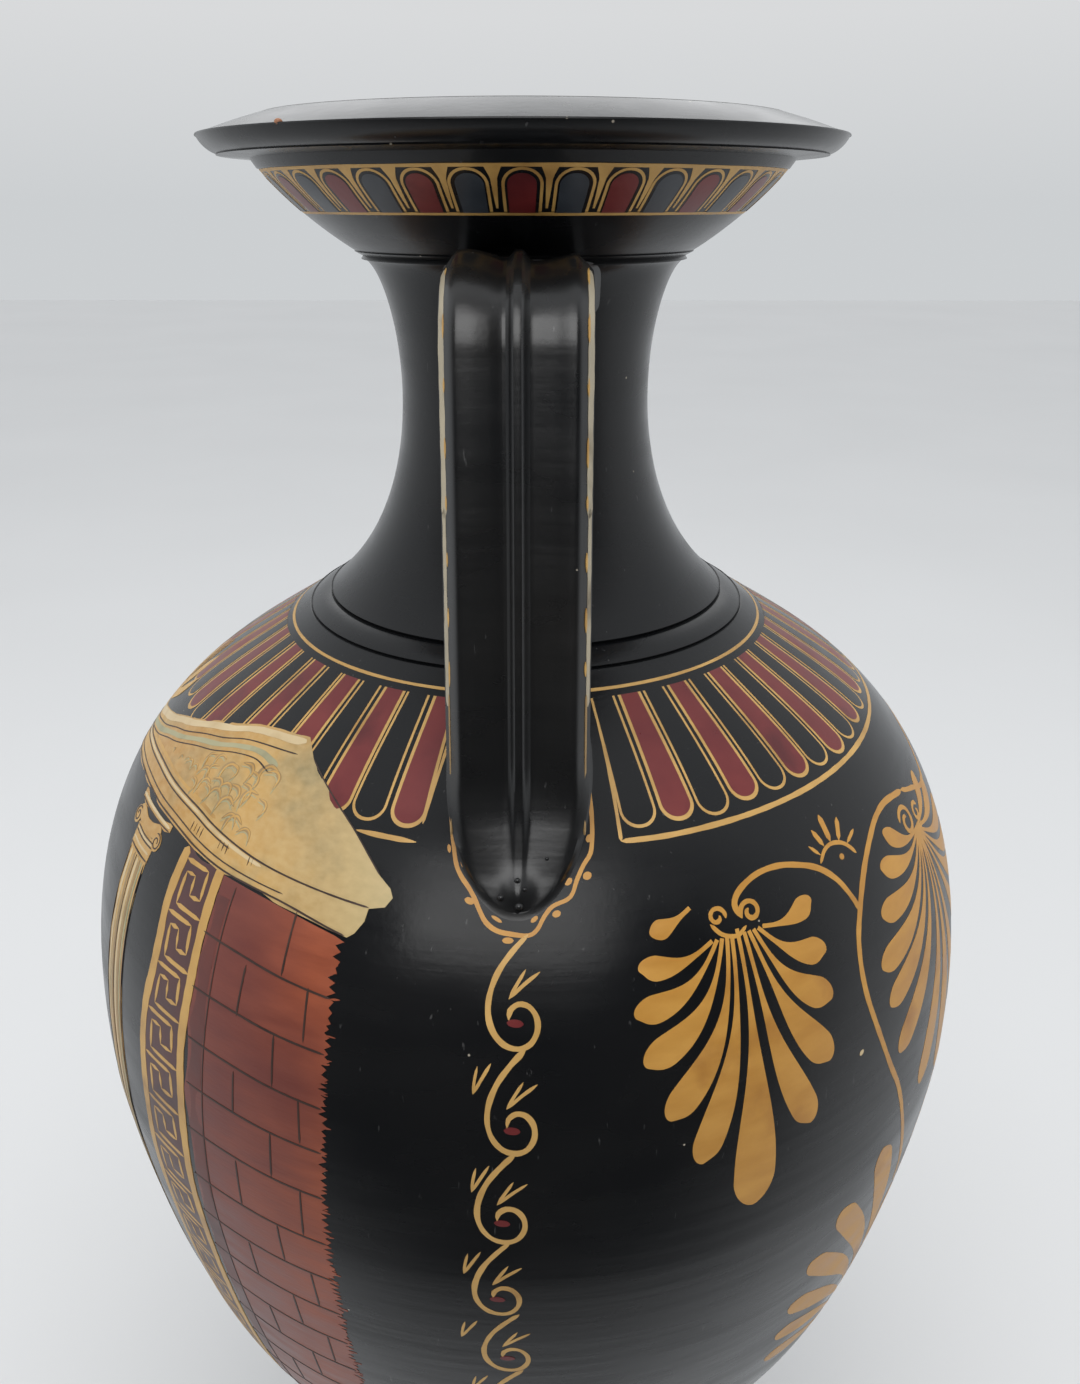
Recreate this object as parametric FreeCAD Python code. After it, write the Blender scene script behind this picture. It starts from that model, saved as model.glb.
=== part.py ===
"""A black-glazed neck amphora: thrown sections, two ribbed strap handles and a spreading foot.

Millimetres, +Z up. The origin is the centre of the resting ring, and the handles lie along X.
Every outline is a list of (radius, height) points, read from the lip down to the foot.
"""

import FreeCAD, Part
import math
import os

Vector = FreeCAD.Vector

# Lip: a sloping brim that overhangs the mouth.
RIM_CREST = (96.5, 765.0)
RIM_INNER_ROUND = (93.5, 764.2)
RIM_INNER_EDGE = (92.6, 761.5)
BRIM_DIP = (109.5, 760.4)
BRIM_TIP = (119.3, 757.8)
BRIM_UNDER_ROUND = (118.2, 753.8)
BRIM_UNDER = (112.5, 751.4)
FASCIA_TOP = (101.0, 750.4)

# Outer outline of the thrown wall, each a Bezier curve's four poles.
BOWL = [(98.8, 747.3), (90.5, 737.5), (79.0, 727.5), (65.5, 719.2)]
NECK = [(63.0, 716.4), (51.5, 715.0), (33.5, 627.6), (84.1, 586.6)]
COLLAR = [(84.6, 585.4), (87.8, 584.2), (90.6, 582.6), (93.0, 580.8)]
SHOULDER = [(93.6, 580.0), (139.0, 549.5), (200.0, 532.0), (200.0, 400.0)]
BELLY = [(200.0, 400.0), (200.0, 377.0), (189.5, 293.5), (170.5, 250.0)]
TAPER = [(170.5, 250.0), (139.7, 180.0), (66.0, 100.0), (57.0, 64.0)]

# Where the sections meet on the outside: the bottom of the groove, or the flush seam.
LIP_SEAM = BOWL[0]
MOUTH_SEAM = (62.4, 717.6)
NECK_SEAM = (83.4, 585.3)
COLLAR_SEAM = (92.6, 579.9)
BELLY_SEAM = BELLY[0]

NECK_WALL = 8.0
BODY_WALL = 9.0
TAPER_WALL = 11.0
SEAM_TONGUE = 4.0
COIL_RADIUS = 6.0

# Base of the body, the bead round it, and the foot.
PLUG_RADIUS = 46.0
PLUG_BASE = 53.0
BEAD_CREST = (61.0, 58.5)
BEAD_FOOT = (55.5, PLUG_BASE)
FOOT_FLARE = [(54.0, PLUG_BASE), (53.0, 36.0), (70.0, 27.5), (91.0, 24.0)]
PLINTH_STEP = (91.0, 21.5)
PLINTH_TOP = (96.0, 21.5)
PLINTH_ROUND = (99.0, 20.2)
PLINTH_SIDE = (100.0, 17.0)
PLINTH_LOW = (100.0, 2.5)
RESTING_EDGE = (98.0, 0.0)
FOOT_HOLLOW = [(82.0, 0.0), (80.0, 22.0), (44.0, 28.0), (38.0, PLUG_BASE)]

# Strap handle: the centre line's corners in the XZ plane, and the bend radius at each.
STRAP_START = (48.0, 709.0)
STRAP_ARCH = (116.4, 718.6)
STRAP_KNEE = (143.6, 555.0)
STRAP_END = (171.0, 503.2)
ARCH_RADIUS = 24.0
KNEE_RADIUS = 60.0
STRAP_HALF_WIDTH = 23.5
STRAP_HALF_BACK = 20.5
STRAP_HALF_DEPTH = 7.0
# Across the strap's front, as (offset, height) from the centre line: three ribs, two valleys.
STRAP_FRONT = [(-20.0, 5.2), (-16.0, 7.0), (-4.6, 5.2), (2.4, 6.7), (10.0, 4.6), (17.0, 6.0), (20.0, 4.6)]

# The strap's pressed root, seen from outside as (half width, height).
ROOT_OUTLINE = [(STRAP_HALF_WIDTH, 560.0), (22.0, 541.0), (11.0, 525.0), (0.0, 525.0)]
PAD_MARGIN = 4.0
PAD_DEPTH = 2.2
ROOT_PAD_TOP = 564.0
NECK_PAD_LOW = 696.0
NECK_PAD_TOP = 713.0

FULL_TURN = 360.0


def spot(point):
    """The place of a (radius, height) point in the XZ plane."""
    return Vector(point[0], 0, point[1])


def bezier(poles):
    curve = Part.BezierCurve()
    curve.setPoles([spot(pole) for pole in poles])
    return curve.toShape()


def arc(start, middle, end):
    return Part.Arc(spot(start), spot(middle), spot(end)).toShape()


def lines(*points):
    """Straight edges through the points, with repeated points passed over."""
    places = [spot(point) for point in points]
    pairs = zip(places, places[1:])
    return [Part.makeLine(a, b) for a, b in pairs if a.distanceToPoint(b) > 1e-6]


def lathe(edges):
    """The solid that a closed outline sweeps in one turn round the Z axis."""
    wire = Part.Wire(Part.__sortEdges__(edges))
    return Part.Face(wire).revolve(Vector(0, 0, 0), Vector(0, 0, 1), FULL_TURN)


def leg_inward(start, end):
    """The unit vector from a downward leg of an outline towards the vessel's inside."""
    dr = end[0] - start[0]
    dz = end[1] - start[1]
    length = math.hypot(dr, dz)
    return dz / length, -dr / length


def moved_inward(poles, depth):
    """A Bezier's poles moved into the wall, so that the new curve runs parallel to the old one."""
    normals = [leg_inward(a, b) for a, b in zip(poles, poles[1:])]
    moved = []
    for index, (radius, height) in enumerate(poles):
        before = normals[max(index - 1, 0)]
        after = normals[min(index, len(normals) - 1)]
        mitre = depth / (1 + before[0] * after[0] + before[1] * after[1])
        shift = (before[0] + after[0]) * mitre, (before[1] + after[1]) * mitre
        moved.append((radius + shift[0], height + shift[1]))
    return moved


def parallel_outline(curves, depths):
    """The curves moved inward by their depths, with neighbours' ends brought together."""
    moved = [moved_inward(poles, depth) for poles, depth in zip(curves, depths)]
    for upper, lower in zip(moved, moved[1:]):
        meeting = tuple((a + b) / 2 for a, b in zip(upper[-1], lower[0]))
        upper[-1] = meeting
        lower[0] = meeting
    return moved


def seam_joint(outer, inner, poles_below):
    """A V joint across the wall: its point runs down into the section below."""
    leg = Vector(*poles_below[1]) - Vector(*poles_below[0])
    drop = leg.normalize() * SEAM_TONGUE
    middle = ((outer[0] + inner[0]) / 2 + drop.x, (outer[1] + inner[1]) / 2 + drop.y)
    return [outer, middle, inner]


def chained(curves, first, last):
    """Outer edges from one seam to the next, with the short steps into each seam."""
    edges = lines(first, curves[0][0])
    for poles in curves:
        edges.append(bezier(poles))
    return edges + lines(curves[-1][-1], last)


def wall_ring(outer_curves, inner_curves, joint_above, joint_below):
    """A ring of the vessel's wall between two seams."""
    edges = chained(outer_curves, joint_above[0], joint_below[0])
    edges += lines(*joint_below)
    edges += [bezier(poles) for poles in inner_curves]
    return lathe(edges + lines(*joint_above))


OUTER = [BOWL, NECK, COLLAR, SHOULDER, BELLY, TAPER]
WALLS = [NECK_WALL, NECK_WALL, BODY_WALL, BODY_WALL, BODY_WALL, TAPER_WALL]
INNER = parallel_outline(OUTER, WALLS)
BOWL_IN, NECK_IN, COLLAR_IN, SHOULDER_IN, BELLY_IN, TAPER_IN = INNER

LIP_JOINT = seam_joint(LIP_SEAM, BOWL_IN[0], BOWL)
MOUTH_JOINT = seam_joint(MOUTH_SEAM, NECK_IN[0], NECK)
NECK_JOINT = seam_joint(NECK_SEAM, COLLAR_IN[0], COLLAR)
COLLAR_JOINT = seam_joint(COLLAR_SEAM, SHOULDER_IN[0], SHOULDER)
BELLY_JOINT = seam_joint(BELLY_SEAM, BELLY_IN[0], BELLY)


def lip_ring():
    edges = [arc(RIM_INNER_EDGE, RIM_INNER_ROUND, RIM_CREST)]
    edges.append(arc(RIM_CREST, BRIM_DIP, BRIM_TIP))
    edges.append(arc(BRIM_TIP, BRIM_UNDER_ROUND, BRIM_UNDER))
    edges += lines(BRIM_UNDER, FASCIA_TOP, LIP_SEAM)
    edges += lines(*LIP_JOINT, RIM_INNER_EDGE)
    return lathe(edges)


def lower_body():
    """The belly and taper, closed by a floor whose plug stands in the bead and on the foot."""
    floor_edge = TAPER_IN[-1]
    edges = chained([BELLY, TAPER], BELLY_JOINT[0], TAPER[-1])
    edges += lines(TAPER[-1], (PLUG_RADIUS, TAPER[-1][1]), (PLUG_RADIUS, PLUG_BASE), (0, PLUG_BASE))
    edges += lines((0, PLUG_BASE), (0, floor_edge[1]), floor_edge)
    edges += [bezier(BELLY_IN), bezier(TAPER_IN)]
    return lathe(edges + lines(*BELLY_JOINT))


def foot_bead():
    top = TAPER[-1]
    edges = [arc(top, BEAD_CREST, BEAD_FOOT)]
    edges += lines(BEAD_FOOT, (PLUG_RADIUS, PLUG_BASE), (PLUG_RADIUS, top[1]), top)
    return lathe(edges)


def foot():
    edges = [bezier(FOOT_FLARE)]
    edges += lines(FOOT_FLARE[-1], PLINTH_STEP, PLINTH_TOP)
    edges.append(arc(PLINTH_TOP, PLINTH_ROUND, PLINTH_SIDE))
    edges += lines(PLINTH_SIDE, PLINTH_LOW, RESTING_EDGE, FOOT_HOLLOW[0])
    edges.append(bezier(FOOT_HOLLOW))
    return lathe(edges + lines(FOOT_HOLLOW[-1], FOOT_FLARE[0]))


def filled(curves):
    """The solid inside a run of outline curves, closed by flat ends at the axis."""
    edges = []
    for upper, lower in zip(curves, curves[1:]):
        edges += [bezier(upper)] + lines(upper[-1], lower[0])
    top = curves[0][0]
    low = curves[-1][-1]
    edges += [bezier(curves[-1])] + lines(low, (0, low[1]), (0, top[1]), top)
    return lathe(edges)


def seam_coil(inner_point, cavity):
    """A coil of clay pressed into the inside of a seam: the part of a torus inside the vessel."""
    radius, height = inner_point
    torus = Part.makeTorus(radius, COIL_RADIUS, Vector(0, 0, height))
    return torus.common(cavity)


def strap_path():
    """Straight runs joined by tangent arcs, from inside the neck to inside the shoulder."""
    corners = [spot(point) for point in (STRAP_START, STRAP_ARCH, STRAP_KNEE, STRAP_END)]
    edges = []
    reached = corners[0]
    for index, radius in ((1, ARCH_RADIUS), (2, KNEE_RADIUS)):
        corner = corners[index]
        back = (corners[index - 1] - corner).normalize()
        ahead = (corners[index + 1] - corner).normalize()
        half_angle = back.getAngle(ahead) / 2
        setback = radius / math.tan(half_angle)
        start = corner + back * setback
        end = corner + ahead * setback
        bisector = (back + ahead).normalize()
        middle = corner + bisector * (radius / math.sin(half_angle) - radius)
        edges.append(Part.makeLine(reached, start))
        edges.append(Part.Arc(start, middle, end).toShape())
        reached = end
    edges.append(Part.makeLine(reached, corners[-1]))
    return Part.Wire(edges)


def strap_section():
    """The ribbed section at the strap's start, square to its first run."""
    along = (spot(STRAP_ARCH) - spot(STRAP_START)).normalize()
    outward = Vector(-along.z, 0, along.x)

    def place(across, height):
        return spot(STRAP_START) + Vector(0, across, 0) + outward * height

    front = Part.BSplineCurve()
    front.interpolate([place(across, height) for across, height in STRAP_FRONT])
    left, right = STRAP_FRONT[0], STRAP_FRONT[-1]
    around = [right, (STRAP_HALF_WIDTH, 0.0), (STRAP_HALF_BACK, -STRAP_HALF_DEPTH)]
    around += [(-STRAP_HALF_BACK, -STRAP_HALF_DEPTH), (-STRAP_HALF_WIDTH, 0.0), left]
    places = [place(across, height) for across, height in around]
    sides = [Part.makeLine(a, b) for a, b in zip(places, places[1:])]
    return Part.Wire([front.toShape()] + sides)


def seen_prism(outline_edges, depth):
    """A prism along +X over an outline drawn in the YZ plane."""
    face = Part.Face(Part.Wire(Part.__sortEdges__(outline_edges)))
    return face.extrude(Vector(depth, 0, 0))


def root_prism(margin, top):
    """The tongue shape of the strap's root, wider by the margin, up to the given height."""
    side = [(half + margin, height) for half, height in ROOT_OUTLINE[:3]]
    tip = ROOT_OUTLINE[3][1] - margin
    poles = [side[0], side[1], (side[2][0], tip), (0.0, tip)]
    edges = []
    for mirror in (1, -1):
        curve = Part.BezierCurve()
        curve.setPoles([Vector(0, mirror * half, height) for half, height in poles])
        edges.append(curve.toShape())
    left, right = (Vector(0, sign * side[0][0], side[0][1]) for sign in (-1, 1))
    top_left, top_right = (Vector(0, sign * side[0][0], top) for sign in (-1, 1))
    corners = [right, top_right, top_left, left]
    edges += [Part.makeLine(a, b) for a, b in zip(corners, corners[1:])]
    return seen_prism(edges, SHOULDER[-1][0])


def neck_pad_prism():
    half = STRAP_HALF_WIDTH + PAD_MARGIN
    corners = [Vector(0, -half, NECK_PAD_LOW), Vector(0, half, NECK_PAD_LOW)]
    corners += [Vector(0, half, NECK_PAD_TOP), Vector(0, -half, NECK_PAD_TOP)]
    edges = [Part.makeLine(a, b) for a, b in zip(corners, corners[1:] + corners[:1])]
    return seen_prism(edges, NECK[0][0] + PAD_DEPTH)


def swept_strap():
    sweep = Part.BRepOffsetAPI.MakePipeShell(strap_path())
    sweep.setBiNormalMode(Vector(0, 1, 0))
    sweep.add(strap_section())
    sweep.build()
    sweep.makeSolid()
    return sweep.shape()


def right_handle_pieces(core):
    """The handle on +X and the two clay pads pressed round its ends."""
    strap = swept_strap().common(root_prism(0.0, RIM_CREST[1])).cut(core)
    skin = filled(parallel_outline(OUTER, [-PAD_DEPTH] * len(OUTER)))
    taken = core.fuse(strap)
    neck_pad = skin.common(neck_pad_prism()).cut(taken)
    root_pad = skin.common(root_prism(PAD_MARGIN, ROOT_PAD_TOP)).cut(taken)
    return {"handle": strap, "neck_pad": neck_pad, "root_pad": root_pad}


def write(name, shape):
    shape.exportStep(os.path.join("parts", name + ".step"))
    print(name, len(shape.Solids), shape.isValid(), round(shape.Volume / 1000, 1), "cm3")


def main():
    os.makedirs("parts", exist_ok=True)
    write("lip_ring", lip_ring())
    write("mouth_bowl", wall_ring([BOWL], [BOWL_IN], LIP_JOINT, MOUTH_JOINT))
    write("neck", wall_ring([NECK], [NECK_IN], MOUTH_JOINT, NECK_JOINT))
    write("neck_collar", wall_ring([COLLAR], [COLLAR_IN], NECK_JOINT, COLLAR_JOINT))
    write("shoulder", wall_ring([SHOULDER], [SHOULDER_IN], COLLAR_JOINT, BELLY_JOINT))
    write("lower_body", lower_body())
    write("foot_bead", foot_bead())
    write("foot", foot())

    cavity = filled(INNER)
    write("neck_seam_coil", seam_coil(COLLAR_IN[0], cavity))
    write("belly_seam_coil", seam_coil(BELLY_IN[0], cavity))

    core = filled(OUTER)
    for piece, shape in right_handle_pieces(core).items():
        write(piece + "_right", shape)
        turned = shape.copy()
        turned.rotate(Vector(0, 0, 0), Vector(0, 0, 1), FULL_TURN / 2)
        write(piece + "_left", turned)


main()
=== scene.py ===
"""The looks of the black-glazed neck amphora: fine thrown walls, strap handles and slip painting.

Sizes are millimetres and angles are degrees, turned into metres and radians where meshes are made.
Angles round the vessel count from the viewing direction, which is VIEW_TURN off the right handle's plane.
"""

import math
import random

import bpy
import numpy as np
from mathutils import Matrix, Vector
from mathutils.geometry import delaunay_2d_cdt


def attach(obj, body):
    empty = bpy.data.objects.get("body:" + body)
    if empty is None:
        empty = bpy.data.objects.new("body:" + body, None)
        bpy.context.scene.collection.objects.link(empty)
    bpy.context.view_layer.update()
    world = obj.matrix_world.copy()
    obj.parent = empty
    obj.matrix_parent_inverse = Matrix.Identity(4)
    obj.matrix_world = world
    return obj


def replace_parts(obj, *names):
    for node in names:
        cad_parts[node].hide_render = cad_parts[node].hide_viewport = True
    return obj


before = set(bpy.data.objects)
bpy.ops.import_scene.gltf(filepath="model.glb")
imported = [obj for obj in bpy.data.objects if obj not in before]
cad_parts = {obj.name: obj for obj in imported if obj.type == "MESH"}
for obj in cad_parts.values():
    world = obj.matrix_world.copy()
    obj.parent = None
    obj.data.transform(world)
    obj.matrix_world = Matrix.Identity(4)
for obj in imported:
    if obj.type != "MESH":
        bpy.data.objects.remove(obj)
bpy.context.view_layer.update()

MM = 0.001
VIEW_TURN = 1.2
HALF_TURN = 180
FULL_TURN = 360
rng = random.Random(7)

# ---- the thrown outline, as in the CAD
BOWL = [(98.8, 747.3), (90.5, 737.5), (79, 727.5), (65.5, 719.2)]
NECK = [(63, 716.4), (51.5, 715), (33.5, 627.6), (84.1, 586.6)]
COLLAR = [(84.6, 585.4), (87.8, 584.2), (90.6, 582.6), (93, 580.8)]
SHOULDER = [(93.6, 580), (139, 549.5), (200, 532), (200, 400)]
BELLY = [(200, 400), (200, 377), (189.5, 293.5), (170.5, 250)]
TAPER = [(170.5, 250), (139.7, 180), (66, 100), (57, 64)]
OUTER = [BOWL, NECK, COLLAR, SHOULDER, BELLY, TAPER]
WALLS = [8, 8, 9, 9, 9, 11]

MOUTH_SEAM = (62.4, 717.6)
NECK_SEAM = (83.4, 585.3)
COLLAR_SEAM = (92.6, 579.9)

RIM_INNER_EDGE = (92.6, 761.5)
RIM_CREST = (96.5, 765)
BRIM_TIP = (119.3, 757.8)
BRIM_UNDER = (112.5, 751.4)
FASCIA_TOP = (101, 750.4)

PLUG_RADIUS = 46
PLUG_BASE = 53
BEAD_FOOT = (55.5, PLUG_BASE)
FOOT_FLARE = [(54, PLUG_BASE), (53, 36), (70, 27.5), (91, 24)]
PLINTH_STEP = (91, 21.5)
PLINTH_TOP = (96, 21.5)
PLINTH_SIDE = (100, 17)
PLINTH_LOW = (100, 2.5)
RESTING_EDGE = (98, 0)
FOOT_HOLLOW = [(82, 0), (80, 22), (44, 28), (38, PLUG_BASE)]

# The skin lies this far inside the CAD wall, so that the paint on it stays within the CAD size.
SKIN_SUNK = 0.36
FIRST_COAT = 0.07
SECOND_COAT = 0.13
TEMPLE_COAT = 0.19
TEMPLE_DETAIL = 0.25
TEMPLE_DRAWING = 0.31
PAINT_ROOT = -0.2
AROUND = 288
TINY = 1e-6
BOW_POLES = 0.66


def bezier(poles, count=40):
    """Points of a Bezier outline, and their outward normals."""
    t = np.linspace(0, 1, count)[:, None]
    p = np.array(poles, float)
    points = (1 - t) ** 3 * p[0] + 3 * (1 - t) ** 2 * t * p[1] + 3 * (1 - t) * t**2 * p[2] + t**3 * p[3]
    slope = (1 - t) ** 2 * (p[1] - p[0]) + 2 * (1 - t) * t * (p[2] - p[1]) + t**2 * (p[3] - p[2])
    return points, left_normals(slope)


def left_normals(slope):
    """Unit vectors square to an outline's direction: outwards, where the outline runs down."""
    normals = np.stack([-slope[:, 1], slope[:, 0]], 1)
    return normals / np.linalg.norm(normals, axis=1)[:, None]


def line(start, end):
    """A straight run of the outline, with its outward normals."""
    points = np.array([start, end], float)
    slope = np.repeat((points[1] - points[0])[None], 2, 0)
    return points, left_normals(slope)


def bow(start, end, bulge, count=14):
    """A shallow arc from start to end that swells to its left by the bulge."""
    (start, end), slope = line(start, end)
    side = slope[0]
    middle = (start + end) / 2 + side * bulge * 4 / 3
    near, far = (corner * (1 - BOW_POLES) + middle * BOW_POLES for corner in (start, end))
    return bezier([start, near, far, end], count)


def moved_inward(poles, depth):
    """A Bezier's poles moved into the wall, so that the new curve runs parallel to the old one."""
    legs = left_normals(np.diff(np.array(poles, float), axis=0))
    moved = []
    for index, pole in enumerate(poles):
        before, after = legs[max(index - 1, 0)], legs[min(index, len(legs) - 1)]
        moved.append(np.array(pole) - (before + after) * depth / (1 + before @ after))
    return moved


def parallel_outline(curves, depths):
    """The curves moved inward by their depths, with neighbours' ends brought together."""
    moved = [moved_inward(poles, depth) for poles, depth in zip(curves, depths)]
    for upper, lower in zip(moved, moved[1:]):
        upper[-1] = lower[0] = (upper[-1] + lower[0]) / 2
    return moved


BOWL_IN, NECK_IN, COLLAR_IN, SHOULDER_IN, BELLY_IN, TAPER_IN = parallel_outline(OUTER, WALLS)



# ---- places on the glaze
def distances(points):
    """How far along a line of points each of them lies."""
    return np.r_[0, np.cumsum(np.hypot(*np.diff(points, axis=0).T))]


def sideways(points):
    """Unit vectors square to a line of points."""
    ahead = np.gradient(points, axis=0)
    ahead /= np.maximum(np.hypot(*ahead.T), TINY)[:, None]
    return np.stack([-ahead[:, 1], ahead[:, 0]], 1)


OUTLINE = np.vstack([bezier(poles, 300)[0] for poles in OUTER])
DOWN = distances(OUTLINE)
SLOPE_REACH = 0.6


def girth(s):
    """The wall's radius at a distance s down the outline from the lip."""
    return np.interp(s, DOWN, OUTLINE[:, 0])


def height(s):
    """The height at a distance s down the outline."""
    return np.interp(s, DOWN, OUTLINE[:, 1])


def down(z):
    """The distance down the outline at a height z."""
    return np.interp(z, OUTLINE[::-1, 1], DOWN[::-1])


def on_glaze(phi, s, lift):
    """Points at angle phi and distance s down the outline, lifted off the skin, and their normals."""
    above, below = s - SLOPE_REACH, s + SLOPE_REACH
    dr, dz = girth(below) - girth(above), height(below) - height(above)
    length = np.hypot(dr, dz)
    out, up = -dz / length, dr / length
    r = girth(s) + out * (lift - SKIN_SUNK)
    z = height(s) + up * (lift - SKIN_SUNK)
    turn = np.radians(phi + VIEW_TURN)
    points = np.stack([r * np.cos(turn), r * np.sin(turn), z], 1)
    normals = np.stack([out * np.cos(turn), out * np.sin(turn), up], 1)
    return points, normals


# ---- meshes
def new_mesh(name, points, faces, material):
    """A smooth mesh of one material."""
    mesh = bpy.data.meshes.new(name)
    mesh.from_pydata([tuple(p) for p in points], [], faces)
    mesh.polygons.foreach_set("use_smooth", [True] * len(mesh.polygons))
    mesh.materials.append(material)
    return mesh


def in_scene(name, data):
    """An object for some data, in the scene."""
    thing = bpy.data.objects.new(name, data)
    bpy.context.scene.collection.objects.link(thing)
    return thing


def new_piece(mesh):
    """A piece of the amphora, which rides its one body."""
    piece = in_scene(mesh.name, mesh)
    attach(piece, "root")
    return piece


def facing(points, face, normal):
    """How far a face's own direction agrees with a normal: above 0 where it faces the same way."""
    a, b, c = face[:3]
    return np.cross(points[b] - points[a], points[c] - points[a]) @ normal


class Mesh:
    """Collects faces with their own corner normals, and turns them into one piece."""

    def __init__(self):
        self.points, self.faces, self.normals = [], [], []

    def add(self, points, faces, corner_normals):
        """Adds faces over points in millimetres, with a normal for each corner."""
        first = len(self.points)
        self.points.extend(np.asarray(points, float) * MM)
        for face, normals in zip(faces, corner_normals):
            self.faces.append([first + int(i) for i in face])
            self.normals.extend(normals)

    def slab(self, top, bottom, normals, faces):
        """A closed coat of paint between two layers of points that share their faces."""
        count = len(top)
        edges = {}
        for face in faces:
            for a, b in zip(face, list(face[1:]) + [face[0]]):
                key = (min(a, b), max(a, b))
                edges[key] = None if key in edges else (a, b)
        all_faces, corners = [], []
        for face in faces:
            all_faces += [list(face), [count + i for i in reversed(face)]]
            corners += [[normals[i] for i in face], [-normals[i] for i in reversed(face)]]
        for a, b in filter(None, edges.values()):
            side = np.cross(top[b] - top[a], normals[a])
            size = np.linalg.norm(side)
            if size == 0:
                continue
            all_faces.append([a, count + a, count + b, b])
            corners.append([side / size] * 4)
        self.add(np.vstack([top, bottom]), all_faces, corners)

    def build(self, name, slot, material):
        """Puts the collected faces in the scene as a piece."""
        mesh = new_mesh(name, self.points, self.faces, material)
        mesh.normals_split_custom_set([tuple(n) for n in self.normals])
        return new_piece(mesh)


def lathe(name, node, *runs):
    """A thrown piece for a CAD node: a closed outline of smooth runs, turned once round the axis."""
    turns = np.linspace(0, 2 * math.pi, AROUND, endpoint=False)
    cos, sin = np.cos(turns), np.sin(turns)
    points = []

    def ring(radius, z):
        if radius < TINY:
            points.append((0, 0, z))
            return [len(points) - 1] * AROUND
        first = len(points)
        points.extend(zip(radius * cos, radius * sin, [z] * AROUND))
        return list(range(first, first + AROUND))

    outline = []
    for run, normals in joined(*runs):
        for index in range(len(run) - 1):
            outline.append((run[index], normals[index], normals[index + 1]))
    rings = [ring(*start) for start, _, _ in outline]
    faces, corners = [], []
    for index, (_, before, after) in enumerate(outline):
        upper, lower = rings[index], rings[(index + 1) % len(rings)]
        for k in range(AROUND):
            n = (k + 1) % AROUND
            seen = {}
            for vertex, normal, turn in (
                (upper[k], before, k), (lower[k], after, k), (lower[n], after, n), (upper[n], before, n),
            ):
                seen.setdefault(vertex, (normal[0] * cos[turn], normal[0] * sin[turn], normal[1]))
            if len(seen) > 2:
                faces.append(list(seen))
                corners.append(list(seen.values()))
    mesh = Mesh()
    mesh.add(points, faces, corners)
    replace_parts(mesh.build(name, "black_glaze", black), node)


def sunk(run):
    """An outer run of the wall, moved in to the skin under the paint."""
    points, normals = run
    return points - normals * SKIN_SUNK, normals


def joined(*runs):
    """The runs with a straight run over each gap between them, and one from the last to the first."""
    closed = []
    for run, following in zip(runs, runs[1:] + runs[:1]):
        closed.append(run)
        if np.hypot(*(following[0][0] - run[0][-1])) > TINY:
            closed.append(line(run[0][-1], following[0][0]))
    return closed


def upward(poles, count=40):
    """An inner outline, read up instead of down."""
    return bezier(list(poles)[::-1], count)


# ---- brushwork
def smooth_through(points, step):
    """A Catmull-Rom curve through given points, with a point about every step."""
    p = np.array(points, float)
    if len(p) == 2:
        count = max(2, int(np.hypot(*(p[1] - p[0])) / step) + 1)
        return p[0] + (p[1] - p[0]) * np.linspace(0, 1, count)[:, None]
    p = np.vstack([2 * p[0] - p[1], p, 2 * p[-1] - p[-2]])
    curve = []
    for a, b, c, d in zip(p, p[1:], p[2:], p[3:]):
        count = max(2, int(np.hypot(*(c - b)) / step) + 1)
        for t in np.linspace(0, 1, count, endpoint=False):
            twice = 2 * b + (c - a) * t + (2 * a - 5 * b + 4 * c - d) * t**2 + (3 * b - a - 3 * c + d) * t**3
            curve.append(twice / 2)
    return np.array(curve + [p[-2]])


WAVES = (9, 23, 51)


def wander(count, step, size):
    """A slow drift for a hand-held brush: a few seeded waves."""
    along = np.arange(count) * step
    drift = np.zeros(count)
    for wave in WAVES:
        drift += np.sin(along / wave * 2 * math.pi + rng.uniform(0, 2 * math.pi)) / len(WAVES)
    return drift * size


# Copies of a motif, as changes to its angle.
def as_drawn(phi):
    """The motif itself."""
    return phi


def mirrored_behind(phi):
    """Across the middle of the palmette side."""
    return HALF_TURN - 2 * VIEW_TURN - phi


def mirrored_front(phi):
    """Across the middle of the temple side."""
    return -HALF_TURN - 2 * VIEW_TURN - phi


def under_other_handle(phi):
    """Half a turn on."""
    return phi + HALF_TURN


ONCE = [as_drawn]
BEHIND = [as_drawn, mirrored_behind]
FRONT = [as_drawn, mirrored_front]
HANDLES = [as_drawn, under_other_handle]

# How wide one row of a stroke's faces may be, and the least share of its width at its ends.
LANE = 5
LEAST = 0.02
LEAST_FACING = 1e-9
MERGE_REACH = 1e-4


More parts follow.
